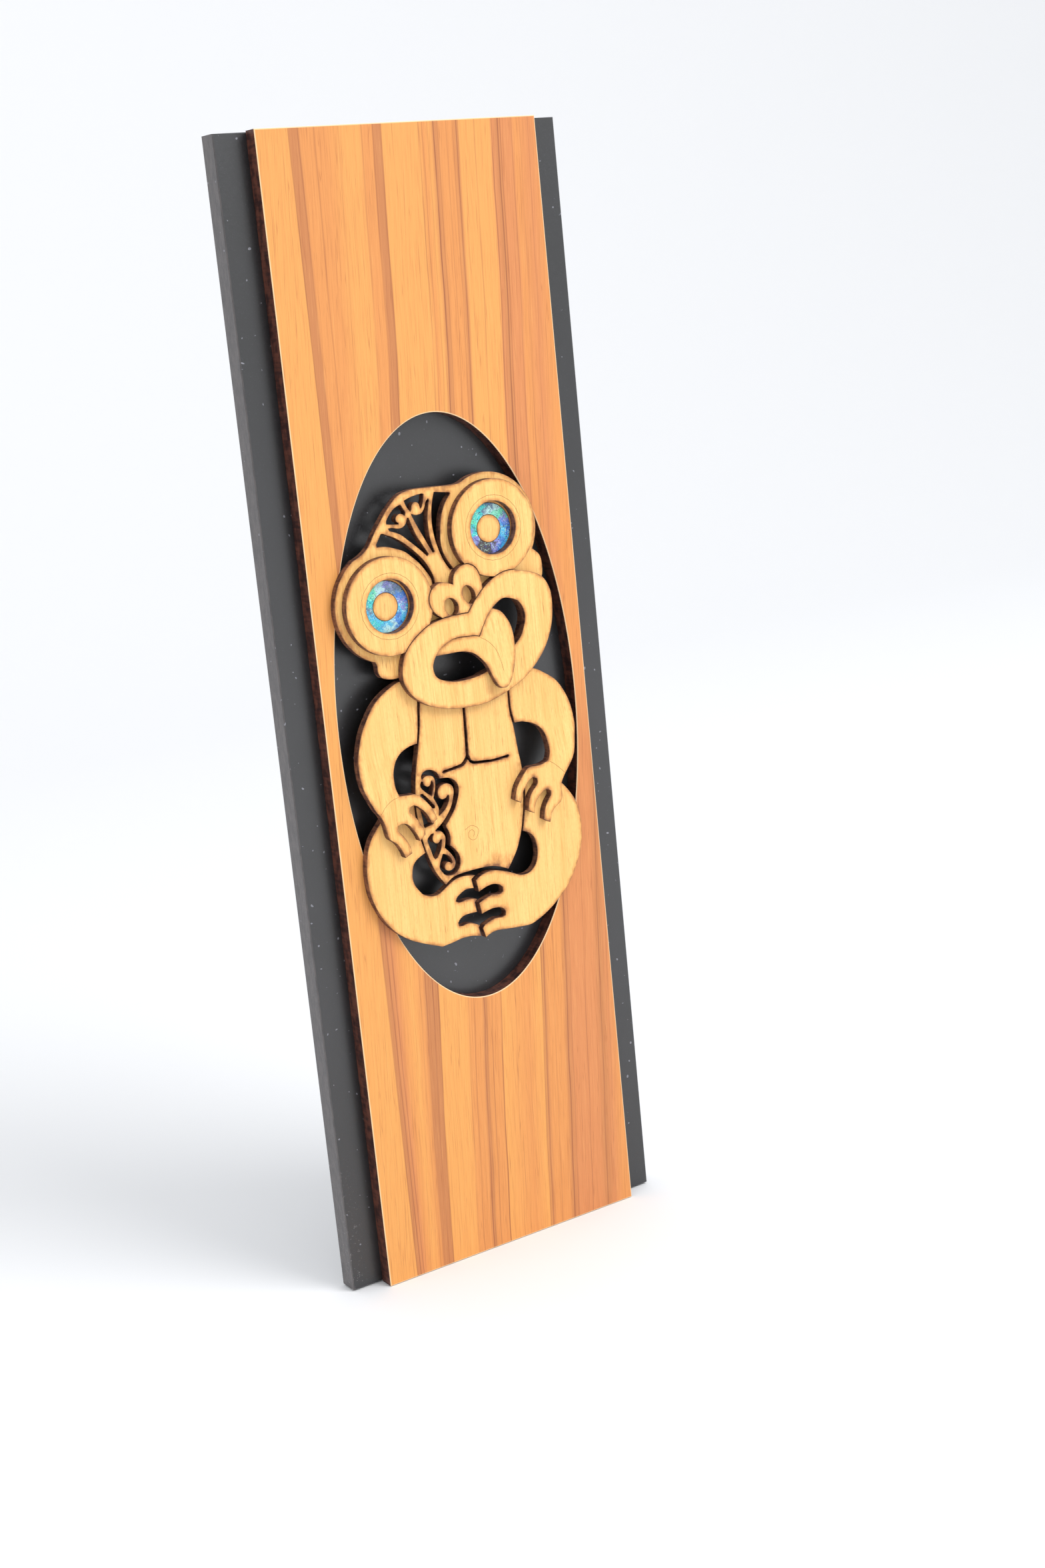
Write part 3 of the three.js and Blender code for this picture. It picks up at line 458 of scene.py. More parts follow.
def cut_plate(
    node,
    name,
    arris=ARRIS,
    fade=RIM_FADE,
    outline_step=OUTLINE_STEP,
    face_step=FACE_STEP,
    lift=None,
    tilted=False,
    rim_burn=RIM_BURN,
):
    """A plate cut with a laser, worked out from the outlines of a model node.

    The face is a flat triangulation, each wall a strip round its outline with a small arris, and a
    pocket has a floor of its own. "char" is 1 on the walls and in engraved lines; a second value
    holds the browned band on the face beside the cuts and the listed scorched places, a few of which
    are painted shade.
    """
    axes = sheet_axes(FRONT)
    if tilted:
        corners, triangles = welded(node)
        normals = triangle_normals(corners, triangles)
        axes = sheet_axes(normals[normals @ FRONT > 0.9 * np.linalg.norm(normals, axis=1)].sum(0))
    outlines = front_outlines(node, axes)
    face_height = min(height for _, _, height in outlines) if lift else max(h for _, _, h in outlines)
    thickness = max(drop for _, drop, _ in outlines)
    if lift:
        thickness = round(min(drop for _, drop, _ in outlines), 1)
    rims = [(smoothed(loop, outline_step), min(drop, thickness)) for loop, drop, _ in outlines]
    edges = [rim - outward(rim) * arris for rim, _ in rims]
    to_sheet = axes[:2]
    offset = axes[2] * face_height
    grooves = []
    for line in ENGRAVED.get(node, []):
        in_space = np.stack([line[:, 0], np.zeros(len(line)), line[:, 1]], 1)
        height = (face_height - in_space @ axes[2]) / axes[2][1]
        in_space[:, 1] = height
        grooves.append(in_space @ to_sheet.T)
    parts = [face_mesh(edges, grooves, face_step, fade, rim_burn)]
    through = []
    pocket = []
    for rim, drop in rims:
        if drop > 0.5 * thickness:
            profile = [
                (-arris, 0.0, rim_burn),
                (0.0, arris, rim_burn if rim_burn < 0 else 1.0),
                (0.0, arris + WALL_TURN, 1.0),
                (0.0, drop - arris / 2, 1.0),
                (-arris / 2, drop, 1.0),
            ]
            through.append(rim - outward(rim) * arris / 2)
        else:
            profile = [(-arris, 0.0, rim_burn), (0.0, arris, 1.0), (0.0, drop, 1.0)]
            pocket.append(rim)
            pocket_depth = drop
        flat, down, burn, quads = wall_mesh(rim, profile)
        parts.append((flat, down, burn, quads))
    flat, _, _, triangles = face_mesh(through, [], 6.0)
    parts.append((flat, np.full(len(flat), thickness), np.zeros(len(flat)), triangles[:, ::-1]))
    if pocket:
        flat, _, _, triangles = face_mesh(pocket, [], 3.0)
        parts.append((flat, np.full(len(flat), pocket_depth), np.full(len(flat), 0.2), triangles))
    flats = np.concatenate([part[0] for part in parts])
    downs = np.concatenate([part[1] for part in parts])
    chars = np.concatenate([part[2] for part in parts])
    firsts = np.cumsum([0, *(len(part[0]) for part in parts[:-1])])
    faces = [part[3] + first for part, first in zip(parts, firsts)]
    heights = -downs + (lift(flats) if lift else 0.0)
    corners = (flats @ to_sheet + heights[:, None] * axes[2] + offset) * MM
    browning_and_shade = np.zeros(len(flats))
    on_face = slice(0, len(parts[0][0]))
    browning_and_shade[on_face] = nearness(flats[on_face], [rim for rim, _ in rims], SOOT_REACH)
    # the listed places add scorching, and in a few places painted shade
    for x, z, radius, strength in SCORCH_AND_SHADE_MARKS.get(node, []):
        gap = (corners[:, 0] / MM - x) ** 2 + (corners[:, 2] / MM - z) ** 2
        browning_and_shade += strength * np.exp(-gap / radius**2)
    piece = new_piece(
        name,
        corners,
        faces,
        {"char": chars, "soot_and_shade": browning_and_shade, "grain": grain_coordinates(corners, name)},
    )
    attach(piece, "root")
    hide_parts(node)
    return piece


def paua_ring(node, name, centre):
    """A flat shell ring: a rounded edge, and a face that swells and dips a little as polished shell does.

    The grid is rings of radius by angle. Height is the slow swell plus the quarter-round at each edge.
    """
    low, high = (np.array(corner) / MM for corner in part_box(node))
    front = -low[1]
    inner = PAUA["inner"]
    outer = PAUA["outer"]
    edge = PAUA["edge"]
    angle = np.linspace(0, 2 * np.pi, 144, endpoint=False)
    quarter = np.linspace(0, np.pi / 2, 4)
    radius = np.concatenate(
        [
            [inner],
            inner + edge * (1 - np.cos(quarter)),
            np.linspace(inner + edge, outer - edge, 14)[1:-1],
            outer - edge + edge * np.sin(quarter),
            [outer],
        ]
    )
    drop = np.concatenate(
        [
            [PAUA["thickness"]],
            edge * (1 - np.sin(quarter)),
            np.zeros(12),
            edge * (1 - np.cos(quarter)),
            [PAUA["thickness"]],
        ]
    )
    r, a = np.meshgrid(radius, angle, indexing="ij")
    middle = np.sin(np.pi * (r - inner) / (outer - inner))
    swell = 0.02 * middle * (np.sin(2 * a + 0.7 * r) + np.sin(5 * a - 1.1 * r))
    depth = drop[:, None] - np.minimum(swell, 0) * 1.0
    x = centre[0] + r * np.cos(a)
    z = centre[1] + r * np.sin(a)
    corners = np.stack([x, -front + depth, z], -1).reshape(-1, 3) * MM
    rows, columns = r.shape
    ring = np.arange(columns)
    after = np.roll(ring, -1)
    quads = [
        np.stack([ring + k * columns, ring + k1 * columns, after + k1 * columns, after + k * columns], 1)
        for k, k1 in zip(range(rows), [*range(1, rows), 0])
    ]
    around = np.stack([r, a, np.zeros_like(a)], -1).reshape(-1, 3)
    local = (corners / MM) - np.array([centre[0], -front, centre[1]])
    piece = new_piece(name, corners, quads, {"around": around, "shell": local})
    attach(piece, "root")
    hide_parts(node)
    return piece


# Shader building

def put(tree, kind, inputs=None, **settings):
    """A node with its settings, and its inputs given as values or as sockets to link."""
    node = tree.nodes.new(kind)
    for key, value in settings.items():
        setattr(node, key, value)
    for key, value in (inputs or {}).items():
        if isinstance(value, bpy.types.NodeSocket):
            tree.links.new(value, node.inputs[key])
        else:
            node.inputs[key].default_value = value
    return node


def calc(tree, operation, *values, clamp=False):
    return put(
        tree,
        "ShaderNodeMath",
        dict(enumerate(values)),
        operation=operation,
        use_clamp=clamp,
    ).outputs[0]


def spread(tree, value, low, high, to_low=0.0, to_high=1.0):
    """A value from low to high as one from to_low to to_high, kept between them."""
    return put(
        tree,
        "ShaderNodeMapRange",
        {0: value, 1: low, 2: high, 3: to_low, 4: to_high},
        interpolation_type="SMOOTHSTEP",
    ).outputs[0]


def mixed(tree, factor, first, second, mode="MIX"):
    return put(
        tree,
        "ShaderNodeMix",
        {0: factor, 6: first, 7: second},
        data_type="RGBA",
        blend_type=mode,
    ).outputs[2]


def scaled(tree, vector, x, y, z):
    return put(tree, "ShaderNodeVectorMath", {0: vector, 1: (x, y, z)}, operation="MULTIPLY").outputs[0]


def noise(tree, vector, scale=1.0, detail=3.0, roughness=0.5, distortion=0.0):
    return put(
        tree,
        "ShaderNodeTexNoise",
        {"Vector": vector, "Scale": scale, "Detail": detail, "Roughness": roughness, "Distortion": distortion},
    ).outputs["Fac"]


def attribute(tree, name, output="Fac"):
    return put(tree, "ShaderNodeAttribute", attribute_name=name).outputs[output]


def ramp(tree, value, stops, interpolation="LINEAR"):
    """A colour ramp from (place, colour) pairs with places between 0 and 1."""
    node = put(tree, "ShaderNodeValToRGB", {0: value})
    band = node.color_ramp
    band.interpolation = interpolation
    while len(band.elements) < len(stops):
        band.elements.new(0.5)
    for element, (place, colour) in zip(band.elements, stops):
        element.position = place
        element.color = colour
    return node.outputs[0]


def group(name, inputs, outputs, build):
    """A shader node group with named sockets, filled by build(tree, input sockets)."""
    tree = bpy.data.node_groups.new(name, "ShaderNodeTree")
    for label, kind, value in inputs:
        socket = tree.interface.new_socket(label, in_out="INPUT", socket_type=kind)
        if value is not None:
            socket.default_value = value
    for label, kind in outputs:
        tree.interface.new_socket(label, in_out="OUTPUT", socket_type=kind)
    entry = tree.nodes.new("NodeGroupInput")
    leave = tree.nodes.new("NodeGroupOutput")
    for label, socket in build(tree, entry.outputs).items():
        tree.links.new(socket, leave.inputs[label])
    return tree


def use(tree, node_group, inputs):
    node = tree.nodes.new("ShaderNodeGroup")
    node.node_tree = node_group
    for key, value in inputs.items():
        if isinstance(value, bpy.types.NodeSocket):
            tree.links.new(value, node.inputs[key])
        else:
            node.inputs[key].default_value = value
    return node.outputs


def build_wood_grain(tree, entry):
    """Long upright fibres, slow bands and short dark pores of a sawn face."""
    where = entry["Place"]
    bent = noise(tree, scaled(tree, where, 0.05, 0.05, 0.012), detail=2.0)
    sway = calc(tree, "MULTIPLY", calc(tree, "SUBTRACT", bent, 0.5), entry["Sway"])
    swayed = put(
        tree,
        "ShaderNodeVectorMath",
        {0: where, 1: put(tree, "ShaderNodeCombineXYZ", {0: sway}).outputs[0]},
        operation="ADD",
    ).outputs[0]
    bands = noise(tree, scaled(tree, swayed, 0.22, 0.1, 0.006), detail=3.0, roughness=0.6)
    fibres = noise(tree, scaled(tree, swayed, 2.6, 0.8, 0.055), detail=4.0, roughness=0.65)
    dashes = noise(tree, scaled(tree, swayed, 3.4, 0.8, 0.16), detail=2.0, roughness=0.5)
    sparse = noise(tree, scaled(tree, swayed, 0.35, 0.2, 0.02), detail=2.0)
    pores = spread(tree, dashes, 0.61, 0.7)
    pores = calc(tree, "MULTIPLY", pores, spread(tree, sparse, 0.38, 0.6))
    return {"Bands": bands, "Fibres": fibres, "Pores": pores}


WOOD_GRAIN = group(
    "wood_grain",
    [("Place", "NodeSocketVector", None), ("Sway", "NodeSocketFloat", 2.0)],
    [("Bands", "NodeSocketFloat"), ("Fibres", "NodeSocketFloat"), ("Pores", "NodeSocketFloat")],
    build_wood_grain,
)


def build_laser_char(tree, entry):
    """A browned cut: soft dark and lighter patches, with faint lines through the thickness."""
    lines = noise(tree, scaled(tree, entry["Place"], 1.2, 0.2, 1.2), detail=2.0, roughness=0.5)
    cloud = noise(tree, scaled(tree, entry["Place"], 0.25, 0.5, 0.25), detail=2.0)
    tone = calc(tree, "ADD", calc(tree, "MULTIPLY", lines, 0.4), calc(tree, "MULTIPLY", cloud, 0.6))
    colour = mixed(tree, spread(tree, tone, 0.36, 0.64), entry["Dark"], entry["Light"])
    return {"Color": colour, "Lines": lines}


LASER_CHAR = group(
    "laser_char",
    [
        ("Place", "NodeSocketVector", None),
        ("Dark", "NodeSocketColor", srgb(48, 25, 24)),
        ("Light", "NodeSocketColor", srgb(118, 78, 62)),
    ],
    [("Color", "NodeSocketColor"), ("Lines", "NodeSocketFloat")],
    build_laser_char,
)


def build_growth_lines(tree, entry):
    """Long thin lines where a slow noise crosses its middle value, broken up along their length."""
    slow = noise(tree, scaled(tree, entry["Place"], 0.3, 0.15, 0.0045), detail=2.5, roughness=0.55)
    folded = calc(tree, "ABSOLUTE", calc(tree, "SUBTRACT", calc(tree, "PINGPONG", slow, 0.06), 0.03))
    thin = spread(tree, folded, 0.0075, 0.0)
    broken = noise(tree, scaled(tree, entry["Place"], 0.9, 0.4, 0.03), detail=2.0)
    return {"Lines": calc(tree, "MULTIPLY", thin, spread(tree, broken, 0.4, 0.62))}


GROWTH_LINES = group(
    "growth_lines",
    [("Place", "NodeSocketVector", None)],
    [("Lines", "NodeSocketFloat")],
    build_growth_lines,
)


def new_material(name):
    """An empty node material and its tree."""
    material = bpy.data.materials.new(name)
    material.use_nodes = True
    material.node_tree.nodes.clear()
    return material, material.node_tree


def surface(tree, height, distance, strength, sockets):
    """The material's Principled surface, with a bump from a height."""
    bump = put(
        tree, "ShaderNodeBump", {"Strength": strength, "Distance": distance, "Height": height}
    ).outputs[0]
    shader = put(tree, "ShaderNodeBsdfPrincipled", {**sockets, "Normal": bump})
    put(tree, "ShaderNodeOutputMaterial", {0: shader.outputs[0]})


def pale_wood():
    """Pale honey-coloured sheet wood, browned at its cuts."""
    material, tree = new_material("pale_wood")
    where = attribute(tree, "grain", "Vector")
    grain = use(tree, WOOD_GRAIN, {"Place": where, "Sway": 3.0})
    base = mixed(tree, spread(tree, grain["Bands"], 0.35, 0.65), srgb(240, 187, 111), srgb(248, 200, 124))
    base = mixed(tree, spread(tree, grain["Fibres"], 0.47, 0.7, 0.0, 0.65), base, srgb(216, 155, 84))
    base = mixed(tree, spread(tree, grain["Fibres"], 0.45, 0.28, 0.0, 0.35), base, srgb(253, 214, 144))
    fine = noise(tree, scaled(tree, where, 1.1, 1.1, 0.7), detail=3.0, roughness=0.7)
    base = mixed(tree, spread(tree, fine, 0.4, 0.75, 0.0, 0.3), base, srgb(228, 166, 96))
    base = mixed(tree, calc(tree, "MULTIPLY", grain["Pores"], 0.6), base, srgb(172, 108, 56))
    cloud = noise(tree, scaled(tree, where, 0.45, 0.45, 0.3), detail=3.0)
    # browning beside the cuts and the listed places, a few of which are painted shade darkening the wood
    soot_and_shade = calc(tree, "MULTIPLY", attribute(tree, "soot_and_shade"), spread(tree, cloud, 0.25, 0.7, 0.3, 1.0))
    toasting_and_shade = spread(tree, soot_and_shade, 0.0, 1.1, 0.0, 0.62)
    base = mixed(tree, toasting_and_shade, base, srgb(196, 126, 66))
    scorching_and_shade = spread(tree, soot_and_shade, 0.75, 2.2, 0.0, 0.8)
    base = mixed(tree, scorching_and_shade, base, srgb(112, 66, 48))
    edge = attribute(tree, "char")
    char = use(tree, LASER_CHAR, {"Place": where, "Dark": srgb(66, 40, 36), "Light": srgb(132, 88, 64)})
    base = mixed(tree, calc(tree, "POWER", edge, 1.3, clamp=True), base, char["Color"])
    relief = calc(tree, "SUBTRACT", grain["Fibres"], calc(tree, "MULTIPLY", grain["Pores"], 1.5))
    rough = spread(tree, grain["Fibres"], 0.3, 0.7, 0.5, 0.64)
    surface(
        tree,
        relief,
        0.00005,
        0.3,
        {"Base Color": base, "Roughness": rough, "Specular IOR Level": 0.35},
    )
    return material


LIGHT_BAND = srgb(229, 159, 85)
MIDDLE_BAND = srgb(219, 145, 80)
BROWN_BAND = srgb(192, 124, 74)
WARM_BAND = srgb(210, 135, 82)

# Broad bands across the veneer, from left to right, as (millimetres from the middle, colour)
UPPER_BANDS = [
    (-54, LIGHT_BAND),
    (-42.0, LIGHT_BAND),
    (-41.5, BROWN_BAND),
    (-39.0, BROWN_BAND),
    (-37.8, MIDDLE_BAND),
    (-30, MIDDLE_BAND),
    (-24, LIGHT_BAND),
    (-18.5, LIGHT_BAND),
    (-16.5, MIDDLE_BAND),
    (-13.2, MIDDLE_BAND),
    (-12.4, BROWN_BAND),
    (-9.9, BROWN_BAND),
    (-9.4, LIGHT_BAND),
    (4.6, LIGHT_BAND),
    (6.4, MIDDLE_BAND),
    (8.8, LIGHT_BAND),
    (10.8, BROWN_BAND),
    (13.0, MIDDLE_BAND),
    (17.6, MIDDLE_BAND),
    (19.6, BROWN_BAND),
    (20.4, LIGHT_BAND),
    (32.6, LIGHT_BAND),
    (33.6, WARM_BAND),
    (36.0, BROWN_BAND),
    (37.4, WARM_BAND),
    (41.5, WARM_BAND),
    (43.0, MIDDLE_BAND),
    (49, WARM_BAND),
    (54, MIDDLE_BAND),
]
LOWER_BANDS = [
    (-54, LIGHT_BAND),
    (-42.6, LIGHT_BAND),
    (-41.6, BROWN_BAND),
    (-38.6, WARM_BAND),
    (-36.6, MIDDLE_BAND),
    (-33, LIGHT_BAND),
    (-29.2, MIDDLE_BAND),
    (-27.6, BROWN_BAND),
    (-23.5, BROWN_BAND),
    (-22.8, LIGHT_BAND),
    (-12.6, LIGHT_BAND),
    (-10.4, MIDDLE_BAND),
    (-6.0, MIDDLE_BAND),
    (-4.6, BROWN_BAND),
    (-2.8, MIDDLE_BAND),
    (1.8, MIDDLE_BAND),
    (3.2, LIGHT_BAND),
    (14, MIDDLE_BAND),
    (19.8, LIGHT_BAND),
    (21.4, BROWN_BAND),
    (23.0, MIDDLE_BAND),
    (29.4, MIDDLE_BAND),
    (31.2, BROWN_BAND),
    (34, WARM_BAND),
    (44, WARM_BAND),
    (47, BROWN_BAND),
    (50, WARM_BAND),
    (54, MIDDLE_BAND),
]
# Thin dark growth lines, as (millimetres from the middle, darkness)
UPPER_LINES = [
    (-41.8, 0.9),
    (-38.7, 0.6),
    (-33.6, 0.5),
    (-25.6, 0.2),
    (-17.2, 0.4),
    (-12.9, 0.75),
    (-9.8, 0.95),
    (4.7, 0.55),
    (6.1, 0.4),
    (8.2, 0.3),
    (10.5, 1.0),
    (12.0, 0.4),
    (15.4, 0.3),
    (17.9, 0.4),
    (19.3, 0.75),
    (26.4, 0.45),
    (33.5, 0.8),
    (36.1, 0.9),
    (37.1, 0.6),
    (41.7, 0.55),
    (45.2, 0.4),
    (48.6, 0.3),
]
LOWER_LINES = [
    (-42.0, 0.6),
    (-40.4, 0.7),
    (-38.9, 0.6),
    (-30.1, 0.3),
    (-28.0, 0.5),
    (-25.4, 0.5),
    (-23.3, 0.85),
    (-11.3, 0.3),
    (-9.0, 0.45),
    (-4.8, 0.75),
    (-3.9, 0.5),
    (-1.6, 0.5),
    (2.4, 1.0),
    (8.7, 0.25),
    (20.4, 0.8),
    (21.5, 0.8),
    (25.8, 0.4),
    (31.4, 0.75),
    (33.2, 0.4),
    (39.8, 0.5),
    (46.6, 0.6),
    (50.1, 0.3),
]
LINE_HALF = 0.34
LINES_IN_RAMP = 8
VENEER_HALF = 54.0
LEAN_UPPER = 0.05
LEAN_LOWER = 0.066
UPPER_HEIGHT = 150.0
LOWER_HEIGHT = -133.0


def ramp_in_mm(tree, across, stops):
    """A colour ramp whose stops are given in millimetres, so its steps are as fine as it can hold."""
    first = stops[0][0]
    length = stops[-1][0] - first
    place = calc(tree, "DIVIDE", calc(tree, "SUBTRACT", across, first), length)
    return ramp(tree, place, [((mm - first) / length, colour) for mm, colour in stops])


def line_mask(tree, across, lines):
    """Dark lines: a few small ramps side by side, each with a peak at every one of its lines."""
    total = None
    for first in range(0, len(lines), LINES_IN_RAMP):
        stops = []
        for mm, darkness in lines[first : first + LINES_IN_RAMP]:
            stops += [
                (mm - LINE_HALF, (0, 0, 0, 1)),
                (mm, (darkness, darkness, darkness, 1)),
                (mm + LINE_HALF, (0, 0, 0, 1)),
            ]
        part = ramp_in_mm(tree, across, stops)
        total = calc(tree, "ADD", total, part) if total else part
    return total


def rimu_veneer():
    """Orange-brown veneer: broad upright bands that lean a little, dark growth lines and fine fibres."""
    material, tree = new_material("rimu_veneer")
    where = scaled(tree, put(tree, "ShaderNodeTexCoord").outputs["Object"], 1000, 1000, 1000)
    x, y, z = put(tree, "ShaderNodeSeparateXYZ", {0: where}).outputs
    slow = noise(tree, scaled(tree, where, 0.012, 0.0, 0.011), detail=2.0)
    drift = calc(tree, "MULTIPLY", calc(tree, "SUBTRACT", slow, 0.5), 3.5)
    held = spread(tree, x, -46.0, -22.0)

    def moved_across(lean, height):
        above = calc(tree, "SUBTRACT", z, height)
        shift = calc(tree, "MULTIPLY", calc(tree, "MULTIPLY", above, lean), held)
        return calc(tree, "ADD", calc(tree, "SUBTRACT", x, shift), calc(tree, "MULTIPLY", drift, held))

    in_upper = moved_across(LEAN_UPPER, UPPER_HEIGHT)
    in_lower = moved_across(LEAN_LOWER, LOWER_HEIGHT)
    upper_share = spread(tree, z, -25.0, 25.0)
    base = mixed(
        tree,
        upper_share,
        ramp_in_mm(tree, in_lower, LOWER_BANDS),
        ramp_in_mm(tree, in_upper, UPPER_BANDS),
    )
    leaning = put(
        tree,
        "ShaderNodeCombineXYZ",
        {0: calc(tree, "SUBTRACT", x, calc(tree, "MULTIPLY", z, 0.055)), 1: y, 2: z},
    ).outputs[0]
    grain = use(tree, WOOD_GRAIN, {"Place": leaning, "Sway": 3.0})
    hairs = use(tree, GROWTH_LINES, {"Place": leaning})["Lines"]
    base = mixed(tree, spread(tree, grain["Fibres"], 0.48, 0.72, 0.0, 0.35), base, srgb(176, 106, 58))
    base = mixed(tree, spread(tree, grain["Fibres"], 0.46, 0.28, 0.0, 0.25), base, srgb(244, 180, 108))
    base = mixed(tree, calc(tree, "MULTIPLY", hairs, 0.4), base, srgb(156, 88, 48))
    drawn = mixed(
        tree,
        upper_share,
        line_mask(tree, in_lower, LOWER_LINES),
        line_mask(tree, in_upper, UPPER_LINES),
    )
    patchy = noise(tree, scaled(tree, leaning, 0.12, 0.1, 0.022), detail=3.0)
    drawn = calc(tree, "MULTIPLY", drawn, spread(tree, patchy, 0.3, 0.6, 0.35, 0.9))
    base = mixed(tree, drawn, base, srgb(128, 66, 44))
    base = mixed(tree, calc(tree, "MULTIPLY", grain["Pores"], 0.15), base, srgb(140, 80, 46))
    # painted shade: the veneer is mixed darker towards its top, where less light falls
    painted_shade_at_top = spread(tree, z, 40.0, 215.0, 0.0, 0.12)
    base = mixed(tree, painted_shade_at_top, base, srgb(170, 100, 50))
    edge = attribute(tree, "char")
    pale = calc(tree, "MULTIPLY", edge, -0.8, clamp=True)
    base = mixed(tree, pale, base, srgb(248, 220, 176))
    char = use(tree, LASER_CHAR, {"Place": where, "Dark": srgb(48, 24, 22), "Light": srgb(104, 60, 46)})
    base = mixed(tree, calc(tree, "POWER", edge, 1.3, clamp=True), base, char["Color"])
    rough = spread(tree, grain["Fibres"], 0.3, 0.7, 0.42, 0.55)
    surface(
        tree,
        grain["Fibres"],
        0.00005,
        0.25,
        {"Base Color": base, "Roughness": rough, "Specular IOR Level": 0.4},
    )
    return material


def black_board():
    """Charcoal paint on fibreboard: fine specks, faint cloudiness and pale scuffs low on the left."""
    material, tree = new_material("black_board")
    where = scaled(tree, put(tree, "ShaderNodeTexCoord").outputs["Object"], 1000, 1000, 1000)
    x, _, z = put(tree, "ShaderNodeSeparateXYZ", {0: where}).outputs
    cloud = noise(tree, scaled(tree, where, 0.05, 0.05, 0.03), detail=3.0)
    grit = noise(tree, where, scale=1.6, detail=3.0, roughness=0.75)
    base = mixed(tree, spread(tree, cloud, 0.3, 0.7), srgb(17, 17, 19), srgb(24, 24, 27))
    base = mixed(tree, spread(tree, grit, 0.55, 0.75, 0.0, 0.5), base, srgb(52, 53, 60))
    side = calc(tree, "LESS_THAN", x, -65.15)
    raw = noise(tree, scaled(tree, where, 0.8, 0.8, 0.25), detail=4.0, roughness=0.65)
    edge = mixed(tree, spread(tree, raw, 0.35, 0.65), srgb(52, 47, 48), srgb(78, 71, 70))
    base = mixed(tree, side, base, edge)
    low = spread(tree, z, -140.0, -190.0)
    left = spread(tree, x, -58.0, -65.0)
    speck = spread(tree, noise(tree, where, scale=0.9, detail=4.0, roughness=0.7), 0.6, 0.68)
    scuff = calc(tree, "MULTIPLY", calc(tree, "MULTIPLY", low, left), speck)
    base = mixed(tree, calc(tree, "MULTIPLY", scuff, 0.7), base, srgb(150, 146, 146))
    dust = noise(tree, scaled(tree, where, 0.7, 0.7, 0.7), detail=0.0)
    base = mixed(tree, spread(tree, dust, 0.82, 0.86, 0.0, 0.6), base, srgb(150, 150, 160))
    rough = spread(tree, grit, 0.3, 0.7, 0.3, 0.4)
    surface(
        tree,
        grit,
        0.00004,
        0.3,
        {"Base Color": base, "Roughness": rough, "Specular IOR Level": 1.0},
    )
    return material


PAUA_COLOURS = {
    "turquoise": srgb(50, 206, 206),
    "green": srgb(104, 222, 176),
    "blue": srgb(56, 128, 214),
    "lilac": srgb(140, 140, 216),
    "grey": srgb(96, 124, 150),
    "cyan": srgb(72, 186, 228),
    "pale": srgb(180, 226, 226),
    "brown": srgb(70, 60, 56),
}
# Colours round each ring, as (turns anticlockwise from the right, colour)
PAUA_ROUND = {
    "left": [
        (0.0, "lilac"),
        (0.08, "blue"),
        (0.16, "grey"),
        (0.22, "lilac"),
        (0.31, "pale"),
        (0.37, "green"),
        (0.44, "turquoise"),
        (0.5, "grey"),
        (0.57, "cyan"),
        (0.64, "turquoise"),
        (0.72, "cyan"),
        (0.8, "pale"),
        (0.86, "blue"),
        (0.95, "cyan"),
    ],
    "right": [
        (0.0, "blue"),
        (0.06, "lilac"),
        (0.12, "green"),
        (0.2, "pale"),
        (0.25, "grey"),
        (0.32, "turquoise"),
        (0.42, "green"),
        (0.5, "turquoise"),
        (0.57, "lilac"),
        (0.66, "brown"),
        (0.74, "brown"),
        (0.8, "lilac"),
        (0.87, "blue"),
        (0.94, "cyan"),
    ],
}
PAUA_SEED = {"left": 3.0, "right": 41.0}
PAUA_DOTS = {"left": 0.15, "right": 0.7}


